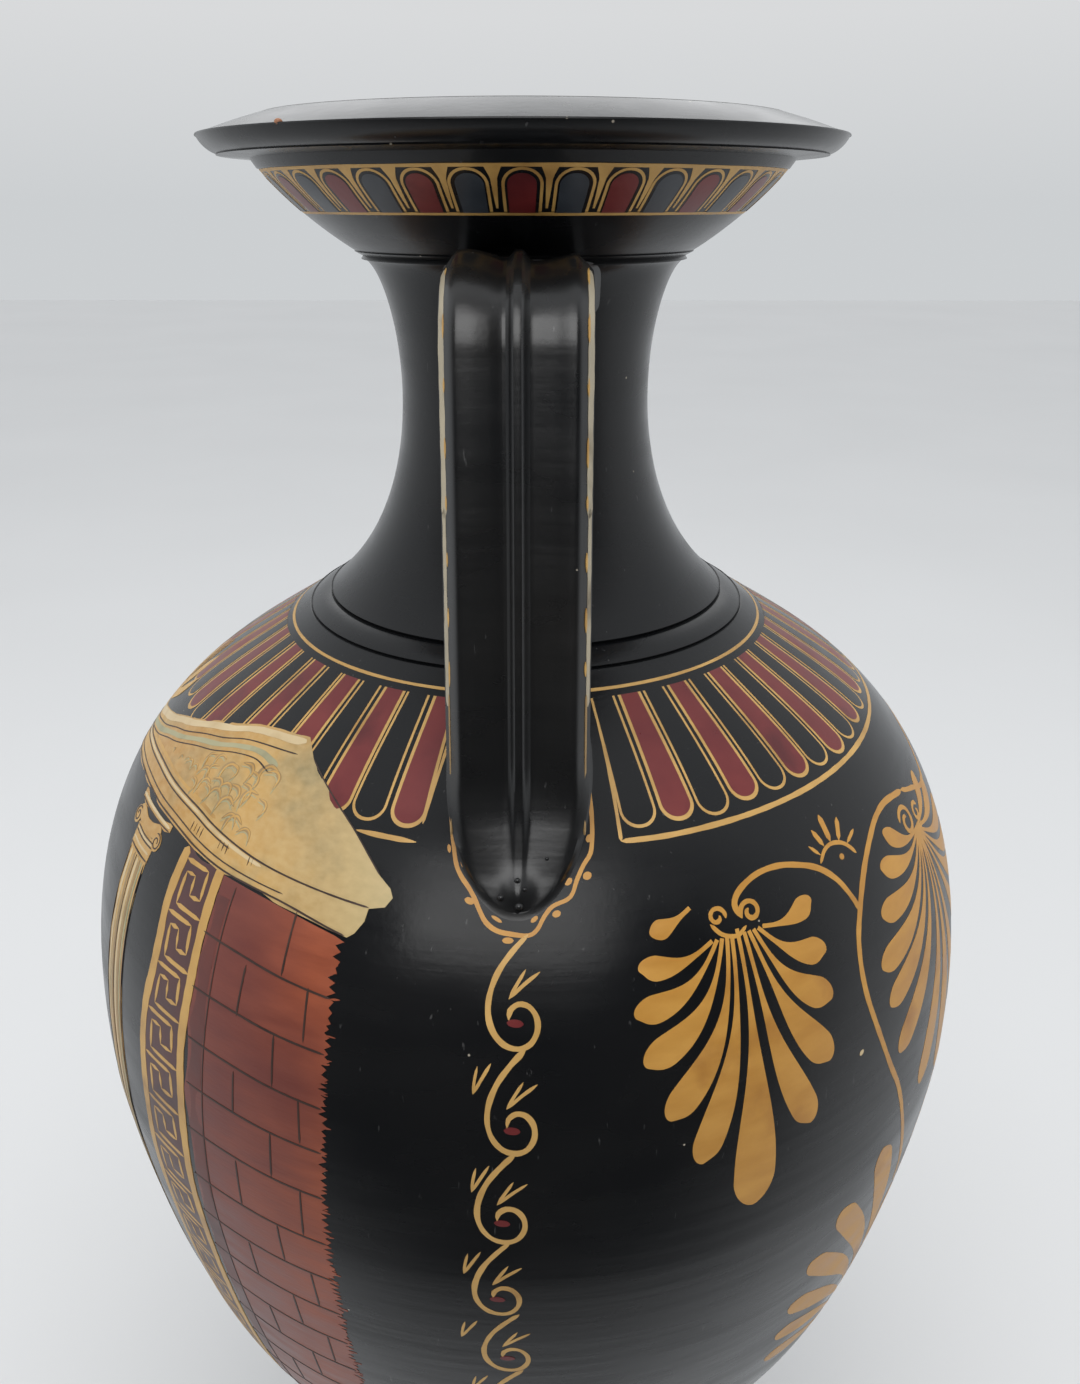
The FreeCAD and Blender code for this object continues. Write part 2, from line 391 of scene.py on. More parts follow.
class Brush:
    """Paints strokes and areas of one slip, which become one piece.

    fold is a list of copies, as changes to the angle; the brush has its own, which a call can replace.
    """

    def __init__(self, lift=FIRST_COAT, fold=ONCE):
        self.mesh = Mesh()
        self.lift = lift
        self.fold = fold

    def ribbon(self, phi0, s0, points, half_widths, fold=None):
        """A band along flat points (across, down) from phi0 and s0."""
        centre = np.asarray(points, float)
        half = np.asarray(half_widths, float)
        lanes = max(1, int(math.ceil(half.max() * 2 / LANE)))
        across = np.linspace(-1, 1, lanes + 1)
        grid = centre[:, None] + sideways(centre)[:, None] * (half[:, None] * across)[..., None]
        grid = grid.reshape(-1, 2)
        s = s0 + grid[:, 1]
        phi = phi0 + np.degrees(grid[:, 0] / girth(s))
        faces = []
        for i in range(len(centre) - 1):
            for j in range(lanes):
                a = i * (lanes + 1) + j
                faces.append([a, a + 1, a + lanes + 2, a + lanes + 1])
        self.place(phi, s, faces, fold)

    def place(self, phi, s, faces, fold=None):
        """Paints the faces, turned or mirrored by fold, with their upper side out."""
        for copied in fold or self.fold:
            moved = copied(phi)
            top, normals = on_glaze(moved, s, self.lift)
            bottom, _ = on_glaze(moved, s, PAINT_ROOT)
            agrees = facing(top, faces[0], normals[faces[0][0]])
            if abs(agrees) < LEAST_FACING:
                middle = faces[len(faces) // 2]
                agrees = facing(top, middle, normals[middle[0]])
            kept = faces if agrees > 0 else [list(reversed(face)) for face in faces]
            self.mesh.slab(top, bottom, normals, kept)

    def stroke(self, phi0, s0, points, width, fold=None, ends=1, step=1.6, hand=0.12):
        """A brush line through flat points, a little uneven, with rounded ends."""
        centre = smooth_through(points, step)
        count = len(centre)
        half = width / 2 * (1 + wander(count, step, hand))
        travelled = distances(centre)
        left = np.minimum(travelled, travelled[-1] - travelled) / (width * ends)
        half = half * np.sqrt(np.clip(left, LEAST, 1))
        self.ribbon(phi0, s0, centre, half, fold)

    def line_through(self, places, width, fold=None, **kind):
        """A stroke through (angle, height) places."""
        phi, z = np.array(places, float).T
        middle_phi, s = phi[0], down(z)
        points = np.stack([np.radians(phi - middle_phi) * girth(s), s - s[0]], 1)
        self.stroke(middle_phi, s[0], points, width, fold, **kind)

    def ring(self, z, width):
        """A line all the way round, closed on itself."""
        s = down(z)
        count = AROUND * 2
        phi = np.linspace(0, FULL_TURN, count, endpoint=False)
        waves = sum(np.sin(np.radians(phi * k + 77 * k)) for k in (3, 7, 16)) / 3
        faces = [[k, (k + 1) % count, count + (k + 1) % count, count + k] for k in range(count)]
        edges = np.r_[s + waves * 0.12 - width / 2, s - waves * 0.1 + width / 2]
        self.place(np.r_[phi, phi], edges, faces)

    def dot(self, phi, z, long, wide, lean=0):
        """A dab: an oval, long along its lean from the horizontal."""
        turn = math.radians(lean)
        ahead = np.array([math.cos(turn), -math.sin(turn)])
        t = np.linspace(-1, 1, 9)
        half = wide / 2 * np.sqrt(np.clip(1 - t**2, LEAST, 1))
        self.ribbon(phi, down(z), t[:, None] * ahead * long / 2, half)

    def area(self, places, grain, fold=None):
        """Fills a closed outline of (angle, height) places."""
        phi, z = np.array(places, float).T
        s = down(z)
        scale = girth(s.mean())
        outline = np.stack([np.radians(phi) * scale, -s], 1)
        low, high = outline.min(0), outline.max(0)
        xs = np.arange(low[0] + grain / 2, high[0], grain)
        ys = np.arange(low[1] + grain / 2, high[1], grain)
        inner = [(x, y) for x in xs for y in ys if inside((x, y), outline)]
        points = [Vector(p) for p in outline] + [Vector(p) for p in inner]
        found = delaunay_2d_cdt(points, [], [list(range(len(outline)))], 1, MERGE_REACH)
        flat_points = np.array([tuple(v) for v in found[0]])
        faces = [list(face) for face in found[2]]
        self.place(np.degrees(flat_points[:, 0] / scale), -flat_points[:, 1], faces, fold)


def inside(point, outline):
    """Whether a flat point is inside a closed outline."""
    x, y = point
    result = False
    for before, after in zip(np.roll(outline, 1, axis=0), outline):
        if (after[1] > y) != (before[1] > y):
            crossing = before[0] + (y - before[1]) / (after[1] - before[1]) * (after[0] - before[0])
            if x < crossing:
                result = not result
    return result


# ---- materials
def link(tree, source, target):
    """Links an output to an input."""
    tree.links.new(source, target)


def new_node(tree, kind, **values):
    """A node with its properties and input defaults set by name."""
    node = tree.nodes.new(kind)
    for name, value in values.items():
        if name in node.inputs:
            node.inputs[name].default_value = value
        else:
            setattr(node, name, value)
    return node


def stretched_noise(tree, scale, detail=4, stretch=(1, 1, 1)):
    """Noise over the object's own coordinates, stretched along some of them."""
    place = new_node(tree, "ShaderNodeTexCoord")
    mapping = new_node(tree, "ShaderNodeMapping", Scale=stretch)
    noise = new_node(tree, "ShaderNodeTexNoise", Scale=scale, Detail=detail)
    link(tree, place.outputs["Object"], mapping.inputs["Vector"])
    link(tree, mapping.outputs["Vector"], noise.inputs["Vector"])
    return noise.outputs["Fac"]


def axis(tree, name, space="Object"):
    """One coordinate of the place being shaded."""
    place = new_node(tree, "ShaderNodeTexCoord")
    split = new_node(tree, "ShaderNodeSeparateXYZ")
    link(tree, place.outputs[space], split.inputs["Vector"])
    return split.outputs[name]


def between(tree, factor, low, high, start=0.3, end=0.7):
    """A number that goes from low to high as the factor goes from start to end."""
    spread = new_node(tree, "ShaderNodeMapRange")
    values = zip(("From Min", "From Max", "To Min", "To Max"), (start, end, low, high))
    for name, value in values:
        spread.inputs[name].default_value = value
    link(tree, factor, spread.inputs["Value"])
    return spread.outputs["Result"]


def blended(tree, factor, first, second):
    """A colour from first to second, each a colour or another node's output."""
    mix = new_node(tree, "ShaderNodeMix", data_type="RGBA")
    link(tree, factor, mix.inputs["Factor"])
    for socket, value in ((mix.inputs[6], first), (mix.inputs[7], second)):
        if isinstance(value, tuple):
            socket.default_value = (*value, 1)
        else:
            link(tree, value, socket)
    return mix.outputs[2]


def bumped(tree, factor, strength, distance=0.0003, before=None):
    """A surface raised a little where the factor is high, over another such surface if there is one."""
    bump = new_node(tree, "ShaderNodeBump", Strength=strength, Distance=distance)
    link(tree, factor, bump.inputs["Height"])
    if before is not None:
        link(tree, before, bump.inputs["Normal"])
    return bump.outputs["Normal"]


def started(name):
    """A new material, with its node tree."""
    material = bpy.data.materials.new(name)
    material.use_nodes = True
    return material, material.node_tree


def finished(material, colour, roughness, normal=None):
    """The material with its shader's inputs linked."""
    tree = material.node_tree
    shader = tree.nodes["Principled BSDF"]
    for name, source in (("Base Color", colour), ("Roughness", roughness), ("Normal", normal)):
        if source is not None:
            link(tree, source, shader.inputs[name])
    return material


def glaze(name, dark, worn, low_gloss, high_gloss, sheen):
    """Black slip glaze: soft cloudy gloss, throwing rings, fine scratches and small pale specks."""
    material, tree = started(name)
    colour = blended(tree, between(tree, stretched_noise(tree, 14), 0, 1), dark, worn)
    scratches = stretched_noise(tree, 55, 6, (9, 9, 1.2))
    colour = blended(tree, between(tree, scratches, 0, 1, 0.70, 0.76), colour, (0.05, 0.05, 0.05))
    place = new_node(tree, "ShaderNodeTexCoord")
    cells = new_node(tree, "ShaderNodeTexVoronoi", Scale=60)
    link(tree, place.outputs["Object"], cells.inputs["Vector"])
    speck = between(tree, cells.outputs["Distance"], 1, 0, 0.018, 0.03)
    colour = blended(tree, speck, colour, (0.34, 0.30, 0.24))
    roughness = between(tree, stretched_noise(tree, 22, stretch=(1, 1, 3)), low_gloss, high_gloss)
    rings = bumped(tree, stretched_noise(tree, 11, 3, (0.6, 0.6, 14)), 0.25, 0.0006)
    grain = bumped(tree, stretched_noise(tree, 420, 3), 0.12, before=rings)
    tree.nodes["Principled BSDF"].inputs["Specular IOR Level"].default_value = sheen
    return finished(material, colour, roughness, grain)


def slip(name, first, second, dabbed, gloss, stretch=(1, 1, 1), scale=60):
    """Painted slip: two tones in brush streaks, darker dabs and a slightly raised grain."""
    material, tree = started(name)
    streaks = between(tree, stretched_noise(tree, scale, 6, stretch), 0, 1)
    dabs = between(tree, stretched_noise(tree, 38, 5), 0, 1, 0.56, 0.72)
    colour = blended(tree, dabs, blended(tree, streaks, first, second), dabbed)
    roughness = between(tree, streaks, gloss - 0.07, gloss + 0.07, 0, 1)
    grain = bumped(tree, stretched_noise(tree, scale * 5, 3, stretch), 0.18)
    return finished(material, colour, roughness, grain)


def brick_paint(name):
    """Brick red that turns to orange towards the right of the wall and to maroon in patches."""
    material, tree = started(name)
    streaks = between(tree, stretched_noise(tree, 42, 6, (1, 1, 5)), 0, 1)
    colour = blended(tree, streaks, (0.155, 0.036, 0.024), (0.245, 0.062, 0.036))
    warm = blended(tree, streaks, (0.25, 0.060, 0.026), (0.36, 0.085, 0.03))
    colour = blended(tree, between(tree, axis(tree, "Y"), 0, 1, -0.105, -0.066), colour, warm)
    clouds = between(tree, stretched_noise(tree, 17, 3), 0, 0.75)
    colour = blended(tree, clouds, colour, (0.12, 0.030, 0.026))
    grain = bumped(tree, stretched_noise(tree, 160, 3, (1, 1, 6)), 0.2)
    return finished(material, colour, between(tree, streaks, 0.30, 0.44, 0, 1), grain)


def temple_stone(name):
    """Sand and ochre clouds over the gable that turn grey-green towards its right corner."""
    material, tree = started(name)
    clouds = between(tree, stretched_noise(tree, 19, 6), 0, 1, 0.35, 0.65)
    colour = blended(tree, clouds, (0.41, 0.215, 0.048), (0.54, 0.325, 0.098))
    for share, tint in (
        (between(tree, axis(tree, "Y"), 0, 0.85, -0.100, -0.040), (0.42, 0.355, 0.185)),
        (between(tree, stretched_noise(tree, 34, 6), 0, 0.8, 0.52, 0.70), (0.25, 0.205, 0.10)),
        (between(tree, stretched_noise(tree, 240, 3, (1, 1, 2)), 0, 0.35), (0.60, 0.44, 0.22)),
    ):
        colour = blended(tree, share, colour, tint)
    grain = bumped(tree, stretched_noise(tree, 130), 0.25, 0.0004)
    return finished(material, colour, between(tree, clouds, 0.36, 0.48, 0, 1), grain)


# Glazes: the dark and the worn tone, the lowest and the highest roughness, and the sheen.
# Slips: two tones, the dabs' tone and the roughness, then any stretch and scale of the streaks.
black = glaze("black_glaze", (0.0042, 0.0048, 0.0058), (0.0085, 0.0085, 0.009), 0.20, 0.32, 0.4)
handle_black = glaze("handle_glaze", (0.0042, 0.0046, 0.0054), (0.009, 0.0085, 0.008), 0.24, 0.34, 0.9)
clay = slip("bare_clay", (0.40, 0.185, 0.095), (0.47, 0.235, 0.13), (0.31, 0.13, 0.07), 0.75, (1, 1, 4), 50)
ochre = slip("ochre_slip", (0.44, 0.25, 0.068), (0.57, 0.345, 0.105), (0.33, 0.175, 0.045), 0.42)
orange_tones = (0.42, 0.195, 0.030), (0.53, 0.27, 0.050), (0.34, 0.145, 0.024)
orange = slip("orange_slip", *orange_tones, 0.40, (1, 1, 3), 45)
red = slip("red_slip", (0.120, 0.013, 0.015), (0.165, 0.022, 0.021), (0.085, 0.010, 0.012), 0.34)
maroon = slip("meander_ground", (0.062, 0.026, 0.026), (0.095, 0.038, 0.036), (0.045, 0.018, 0.02), 0.40)
brick = brick_paint("brick_slip")
brick_shadow = slip("brick_shadow", (0.088, 0.026, 0.022), (0.135, 0.036, 0.028), (0.06, 0.02, 0.018), 0.40)
umber = slip("umber_line", (0.030, 0.017, 0.013), (0.055, 0.030, 0.022), (0.02, 0.012, 0.01), 0.45)
shade = slip("shaded_slip", (0.27, 0.170, 0.068), (0.36, 0.24, 0.11), (0.21, 0.14, 0.06), 0.46)
sand = temple_stone("sand_slip")
cream = slip("cream_slip", (0.53, 0.40, 0.215), (0.63, 0.50, 0.30), (0.45, 0.31, 0.14), 0.42)
# Cream slip for the strap's bevels: it paints the bright room's reflection in the glossy bevel.
cream_painted_sheen_tones = (0.34, 0.30, 0.22), (0.44, 0.38, 0.27), (0.15, 0.12, 0.08)
cream_painted_sheen = slip("cream_painted_sheen", *cream_painted_sheen_tones, 0.38, (1, 1, 0.25), 90)
sage = slip("sage_slip", (0.30, 0.29, 0.165), (0.40, 0.37, 0.22), (0.22, 0.21, 0.12), 0.46, (1, 1, 1), 30)

# ---- thrown pieces
lathe(
    "lip", "lip_ring",
    sunk(bow(RIM_CREST, BRIM_TIP, 0.5)),
    sunk(bow(BRIM_TIP, BRIM_UNDER, 1.6)),
    line(BRIM_UNDER, FASCIA_TOP),
    line(FASCIA_TOP, BOWL[0]),
    line(BOWL_IN[0], RIM_INNER_EDGE),
    sunk(bow(RIM_INNER_EDGE, RIM_CREST, 0.9)),
)
lathe("mouth_wall", "mouth_bowl", sunk(bezier(BOWL)), line(BOWL[-1], MOUTH_SEAM), upward(BOWL_IN))
lathe(
    "neck_wall", "neck",
    line(MOUTH_SEAM, NECK[0]), sunk(bezier(NECK, 90)), line(NECK[-1], NECK_SEAM), upward(NECK_IN, 60),
)
lathe(
    "collar_wall", "neck_collar",
    line(NECK_SEAM, COLLAR[0]), sunk(bezier(COLLAR, 10)), line(COLLAR[-1], COLLAR_SEAM), upward(COLLAR_IN, 8),
)
lathe(
    "shoulder_wall", "shoulder",
    line(COLLAR_SEAM, SHOULDER[0]), sunk(bezier(SHOULDER, 90)), upward(SHOULDER_IN, 50),
)
lathe(
    "belly_wall", "lower_body",
    sunk(bezier(BELLY, 60)),
    sunk(bezier(TAPER, 70)),
    line((PLUG_RADIUS, TAPER[-1][1]), (PLUG_RADIUS, PLUG_BASE)),
    line((PLUG_RADIUS, PLUG_BASE), (0, PLUG_BASE)),
    line((0, TAPER_IN[-1][1]), TAPER_IN[-1]),
    upward(TAPER_IN),
    upward(BELLY_IN),
)
lathe(
    "foot_roll", "foot_bead",
    bow(TAPER[-1], BEAD_FOOT, 4.2, 24), line((PLUG_RADIUS, PLUG_BASE), (PLUG_RADIUS, TAPER[-1][1])),
)
lathe(
    "foot_stand", "foot",
    sunk(bezier(FOOT_FLARE)),
    line(FOOT_FLARE[-1], PLINTH_STEP),
    line(PLINTH_STEP, PLINTH_TOP),
    bow(PLINTH_TOP, PLINTH_SIDE, 1.3),
    line(PLINTH_SIDE, PLINTH_LOW),
    line(PLINTH_LOW, RESTING_EDGE),
    line(RESTING_EDGE, FOOT_HOLLOW[0]),
    bezier(FOOT_HOLLOW),
)

# ---- strap handles
STRAP_CORNERS = [(48, 709), (116.4, 718.6), (143.6, 555), (171, 503.2)]
STRAP_BENDS = [24, 60]
STRAP_HALF_WIDTH = 23.5
STRAP_HALF_BACK = 20.5
STRAP_HALF_DEPTH = 7
STRAP_FRONT = [
    (-20.6, 5.2), (-18.4, 6.7), (-14, 6.9), (-8, 6), (-4.2, 5.1), (-2.4, 5.6), (-0.8, 6.8), (1.6, 6.8),
    (3.2, 5.4), (5, 4.5), (11, 5), (16.4, 5.9), (18.8, 5.7), (20.6, 4.6),
]
STRAP_FACE = 5.6
STRAP_STEP = 1.4
BEVEL_START = (20.8, 4.3)
BEVEL_END = (23.4, 1.4)
MIDDLE_RISE = 6
# Below FLAT_BELOW the ribs are pressed almost flat; they come back over FLAT_SPAN above it.
FLAT_BELOW = 537
FLAT_SPAN = 34
TIP_HALF_WIDTH = 0.4
TIP_RELIEF = 0.12
TIP_THINNER = 0.16
RIB_BOOST = 0.35
ROOT_OUTLINE = [(STRAP_HALF_WIDTH, 560), (22, 541), (11, 525), (0, 525)]
KNOB_HEIGHT = 531.5
KNOB_RISE = 2.4
KNOB_RADIUS = 5.2


def strap_line():
    """The strap's centre line in the handle's plane: straight runs joined by tangent arcs."""
    corners = [np.array(corner) for corner in STRAP_CORNERS]
    path = [corners[0]]
    for index, radius in enumerate(STRAP_BENDS, 1):
        corner = corners[index]
        back, ahead = corners[index - 1] - corner, corners[index + 1] - corner
        back, ahead = back / np.hypot(*back), ahead / np.hypot(*ahead)
        half_angle = math.acos(back @ ahead) / 2
        start = corner + back * radius / math.tan(half_angle)
        bisector = (back + ahead) / np.hypot(*(back + ahead))
        centre = corner + bisector * radius / math.sin(half_angle)
        end = corner + ahead * radius / math.tan(half_angle)
        first = math.atan2(*(start - centre)[::-1])
        sweep = math.atan2(*(end - centre)[::-1]) - first
        sweep = (sweep + math.pi) % (2 * math.pi) - math.pi
        for t in np.linspace(0, 1, 30):
            turn = first + sweep * t
            path.append(centre + radius * np.array([math.cos(turn), math.sin(turn)]))
    path = np.array(path + [corners[-1]])
    travelled = distances(path)
    even = np.arange(0, travelled[-1], STRAP_STEP)
    return np.stack([np.interp(even, travelled, path[:, k]) for k in (0, 1)], 1)


ROOT_EDGE = bezier([(half, z) for half, z in ROOT_OUTLINE], 60)[0]


def root_half_width(z):
    """How wide the strap is, from its middle, at a height on its root."""
    return np.interp(z, ROOT_EDGE[::-1, 1], ROOT_EDGE[::-1, 0])


def strap_section():
    """The section as (across, out): the ribbed front, then the bevels and the flat back."""
    front = smooth_through(STRAP_FRONT, 1)
    right = [(22, 3), BEVEL_END, (23.3, -1.2), (22.2, -4.2), (21.2, -6.4)]
    right.append((STRAP_HALF_BACK, -STRAP_HALF_DEPTH))
    left = [(-across, out) for across, out in reversed(right)]
    back = [(across, -STRAP_HALF_DEPTH) for across in (12, 4, -4, -12)]
    return np.array(list(map(tuple, front)) + right + back + left)


def strap_points(line_points, section):
    """Rows of section points along the strap, narrowed at its root and swollen into its knob."""
    flat_across, relief = section.T
    rows = []
    for (x, z), (out_x, out_z) in zip(line_points, sideways(line_points)):
        surface_z = z + out_z * MIDDLE_RISE
        across = flat_across * max(root_half_width(surface_z), TIP_HALF_WIDTH) / STRAP_HALF_WIDTH
        fade = np.clip((surface_z - FLAT_BELOW) / FLAT_SPAN, 0, 1)
        kept = TIP_RELIEF + (1 - TIP_RELIEF) * fade
        pressed = np.minimum(STRAP_FACE + (relief - STRAP_FACE) * kept, relief + 2)
        out = np.where(relief > 0, pressed, relief) * (1 - TIP_THINNER * (1 - fade) ** 2)
        out = out + np.where(relief > 4, (relief - STRAP_FACE) * RIB_BOOST * fade, 0)
        knob = math.exp(-(((surface_z - KNOB_HEIGHT) / KNOB_RADIUS) ** 2))
        out = out + np.where(relief > 3, KNOB_RISE * knob * np.exp(-((across / KNOB_RADIUS) ** 2)), 0)
        rows.append(np.stack([x + out_x * out, across, z + out_z * out], 1))
    return np.array(rows)


# Edges of the clay sharper than this many degrees are kept crisp.
SHARP_EDGE = 19


def turned(points, half_turned):
    """The points for the right handle, or turned half round for the left one."""
    return points * np.array([-1, -1, 1]) if half_turned else points


def smooth_grid(name, grid, half_turned, node):
    """A piece for a CAD node from rows of points, smooth all over and closed at both ends."""
    rows, columns = grid.shape[:2]
    faces = []
    for i in range(rows - 1):
        for j in range(columns):
            n = (j + 1) % columns
            faces.append([i * columns + j, i * columns + n, (i + 1) * columns + n, (i + 1) * columns + j])
    faces.append(list(range(columns))[::-1])
    faces.append([(rows - 1) * columns + j for j in range(columns)])
    mesh = new_mesh(name, turned(grid, half_turned).reshape(-1, 3) * MM, faces, handle_black)
    mesh.set_sharp_from_angle(angle=math.radians(SHARP_EDGE))
    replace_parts(new_piece(mesh), node)


FILLET_IN = -1
FILLET_OUT = 3.2


FILLET_UNDER = -1.5
HOLLOWNESS = 2.2
FILLET_HEIGHTS = [525, 533, 543, 551, 559, 567]
FILLET_RISES = [0.5, 1.6, 4, 4.4, 1.8, 0.15]


def fillet(side_name, half_turned):
    """Clay smoothed round the strap's root: a hollow curve from the wall up to the strap's side."""
    right = [(STRAP_HALF_WIDTH, z) for z in (568, 565, 562)] + [tuple(p) for p in ROOT_EDGE[1:-1]]
    full = np.array(right + [(0, ROOT_EDGE[-1][1])] + [(-half, z) for half, z in reversed(right)])
    flat_points = np.stack([full[:, 0], down(full[:, 1])], 1)
    outward = sideways(flat_points)
    if outward[0][0] < 0:
        outward = -outward
    rise = np.interp(full[:, 1], FILLET_HEIGHTS, FILLET_RISES)

    def row(reach, lift):
        across, s = (flat_points + outward * reach).T
        return on_glaze(np.degrees(across / girth(s)) - VIEW_TURN, s, lift)[0]

    reaches = np.linspace(FILLET_IN, FILLET_OUT, 12)
    shares = (FILLET_OUT - reaches) / (FILLET_OUT - FILLET_IN)
    rows = [row(reach, rise * share**HOLLOWNESS - 0.1) for reach, share in zip(reaches, shares)]
    rows += [row(reach, FILLET_UNDER) for reach in (FILLET_OUT, FILLET_IN)]
    grid = np.array(rows).transpose(1, 0, 2)
    smooth_grid(f"root_fillet_{side_name}", grid, half_turned, f"root_pad_{side_name}")


def pebble(mesh, centre, radii):
    """Adds a small smooth lump to a mesh."""
    rings, spokes = 6, 10
    points, normals = [], []
    for index in range(rings + 1):
        tilt = math.pi * index / rings
        for spoke in range(spokes):
            turn = 2 * math.pi * spoke / spokes
            way = np.array([math.sin(tilt) * math.cos(turn), math.sin(tilt) * math.sin(turn), math.cos(tilt)])
            if index in (0, rings) and spoke:
                continue
            points.append(np.array(centre) + way * radii)
            normals.append(tuple(way))
    last = len(points) - 1
    faces = []
    for spoke in range(spokes):
        after = (spoke + 1) % spokes
        faces.append([0, 1 + spoke, 1 + after])
        for index in range(rings - 2):
            a, b = 1 + index * spokes, 1 + (index + 1) * spokes
            faces.append([a + spoke, b + spoke, b + after, a + after])
        low = 1 + (rings - 2) * spokes
        faces.append([low + spoke, last, low + after])
    mesh.add(points, faces, [[normals[i] for i in face] for face in faces])


# Crumbs of clay on the strap's tip, as (across, height, radius).
CRUMBS = [(1.6, 529, 1.5), (-6.4, 531, 1.2), (0.2, 536.5, 1.1), (3.4, 534, 0.8), (8.8, 541.5, 0.7)]
CRUMB_SEARCH = 1.6


def crumbs(side_name, half_turned, grid):
    """Small lumps that sit on the strap's outer face near its tip."""
    mesh = Mesh()
    skin = grid.reshape(-1, 3)
    for across, z, radius in CRUMBS:
        near = skin[np.hypot(skin[:, 1] - across, skin[:, 2] - z) < CRUMB_SEARCH]
        spot = near[near[:, 0].argmax()]
        pebble(mesh, turned(spot, half_turned), np.array([radius * 0.7, radius, radius]))
    mesh.build(f"root_crumbs_{side_name}", "black_glaze", handle_black)


NECK_END_Z = 709
PAD_HALF_WIDTH = 23.4
PAD_HALF_DEPTH = 6
PAD_MIDDLE = -0.9
PAD_SPREAD = 4.8
PAD_REACH = 7
PAD_SQUARENESS = 0.38
PAD_SLANT = 0.14


def squared(wave):
    """A wave between -1 and 1 pressed towards a square one."""
    return np.sign(wave) * np.abs(wave) ** PAD_SQUARENESS


def neck_pad(side_name, half_turned):
    """Clay smoothed round the strap's upper end: it spreads from the strap onto the neck."""
    turn = np.linspace(0, 2 * math.pi, 72, endpoint=False)
    across, rise = squared(np.cos(turn)), squared(np.sin(turn))
    rows = []
    for share in np.r_[-0.2, np.linspace(0, 1, 11)]:
        spread = PAD_SPREAD * (1 - max(share, 0)) ** HOLLOWNESS - 0.4
        y = across * (PAD_HALF_WIDTH + spread)
        z = NECK_END_Z + PAD_MIDDLE + rise * (PAD_HALF_DEPTH + spread) + share * PAD_REACH * PAD_SLANT
        wall = girth(down(z)) - SKIN_SUNK
        rows.append(np.stack([np.sqrt(wall**2 - y**2) + share * PAD_REACH - 0.1, y, z], 1))
    smooth_grid(f"neck_pad_{side_name}_clay", np.array(rows), half_turned, f"neck_pad_{side_name}")


STRAP_PAINT_ROOT = -0.3
STRAP_LINE = strap_line()


def strap_paint(name, half_turned, side, reach, width, lift, spans, slot, material):
    """Thin strokes along one bevel of the strap, each over a span of its length.

    side is 1 or -1 across the strap, and reach is how far down the bevel the strokes run.
    """
    brush = Mesh()
    travelled = np.arange(len(STRAP_LINE)) * STRAP_STEP
    bevel = np.array(BEVEL_END) - np.array(BEVEL_START)
    bevel /= np.hypot(*bevel)
    middle = (np.array(BEVEL_START) + bevel * reach) * (side, 1)
    tilt = np.array([side * -bevel[1], bevel[0]])
    along_bevel = bevel * (side, 1)
    for start, end in spans:
        count = max(4, int((end - start) / STRAP_STEP))
        part = np.linspace(start, end, count)
        centre = np.stack([np.interp(part, travelled, STRAP_LINE[:, k]) for k in (0, 1)], 1)
        half = width / 2 * np.sqrt(np.clip(np.minimum(part - start, end - part) / width, 0.03, 1))
        half = half * (1 + wander(count, STRAP_STEP, 0.2))
        outward = sideways(centre)
        layers = []
        for off in (lift, STRAP_PAINT_ROOT):
            grid = []
            for edge in (-1, 1):
                section = middle + along_bevel * edge * half[:, None] + tilt * off
                x, z = (centre + outward * section[:, 1:]).T
                grid.append(np.stack([x, section[:, 0], z], 1))
            layers.append(turned(np.concatenate(grid), half_turned))
        normal = np.stack([outward[:, 0] * tilt[1], np.full(count, tilt[0]), outward[:, 1] * tilt[1]], 1)
        normal = turned(np.concatenate([normal, normal]), half_turned)
        faces = [[k, k + 1, count + k + 1, count + k] for k in range(count - 1)]
        if facing(layers[0], (0, 1, count), normal[0]) < 0:
            faces = [face[::-1] for face in faces]
        brush.slab(*layers, normal, faces)
    brush.build(name, slot, material)


for side_name, half_turned in (("right", False), ("left", True)):
    grid = strap_points(STRAP_LINE, strap_section())
    smooth_grid(f"strap_{side_name}", grid, half_turned, f"handle_{side_name}")
    fillet(side_name, half_turned)
    neck_pad(side_name, half_turned)
    crumbs(side_name, half_turned, grid)
    for edge_name, side in (("a", -1), ("b", 1)):
        dab_starts = np.arange(56, 190, 17.3)
        # The first two rows paint a pale strip down each bevel, a painted reflection of the bright room in
        # the glossy bevel; the dabs and the line are the strap's ochre and brown paint.
        for kind, reach, width, lift, spans, slot, material in (
            ("edge", 2.2, 2.5, 0.15, [(56, 132)], "stone_slip", cream_painted_sheen),
            ("worn", 2.4, 1.7, 0.15, [(129, 192)], "stone_slip", cream_painted_sheen),
            ("dabs", 1.1, 0.8, 0.24, None, "ochre_slip", ochre),
            ("line", 1.6, 0.7, 0.24, [(188, 236)], "ochre_slip", shade),
        ):
            spans = spans or [(start, start + rng.uniform(4, 9)) for start in dab_starts]
            name = f"strap_{kind}_{side_name}_{edge_name}"
            strap_paint(name, half_turned, side, reach, width, lift, spans, slot, material)

# A chip on the brim's edge that shows the bare clay.
CHIP_ANGLE = -38.2
CHIP_DEPTH = 0.9
CHIP_RISE = 0.3
CHIP_RADII = (1.3, 1.3, 0.9)
chip = Mesh()
chip_turn = math.radians(CHIP_ANGLE + VIEW_TURN)
chip_reach = BRIM_TIP[0] - SKIN_SUNK - CHIP_DEPTH
chip_place = (chip_reach * math.cos(chip_turn), chip_reach * math.sin(chip_turn), BRIM_TIP[1] + CHIP_RISE)
pebble(chip, chip_place, np.array(CHIP_RADII))
chip.build("brim_chip", "bare_clay", clay)

# ---- rings and tongues
thin_ochre = Brush()
red_coat = Brush(SECOND_COAT)
black_coat = Brush(SECOND_COAT)
RINGS = [(746.2, 1.3), (732.5, 1.3), (575.2, 1.3), (246, 1.6), (240.5, 1), (92, 1.4)]
for z, width in RINGS:
    thin_ochre.ring(z, width)

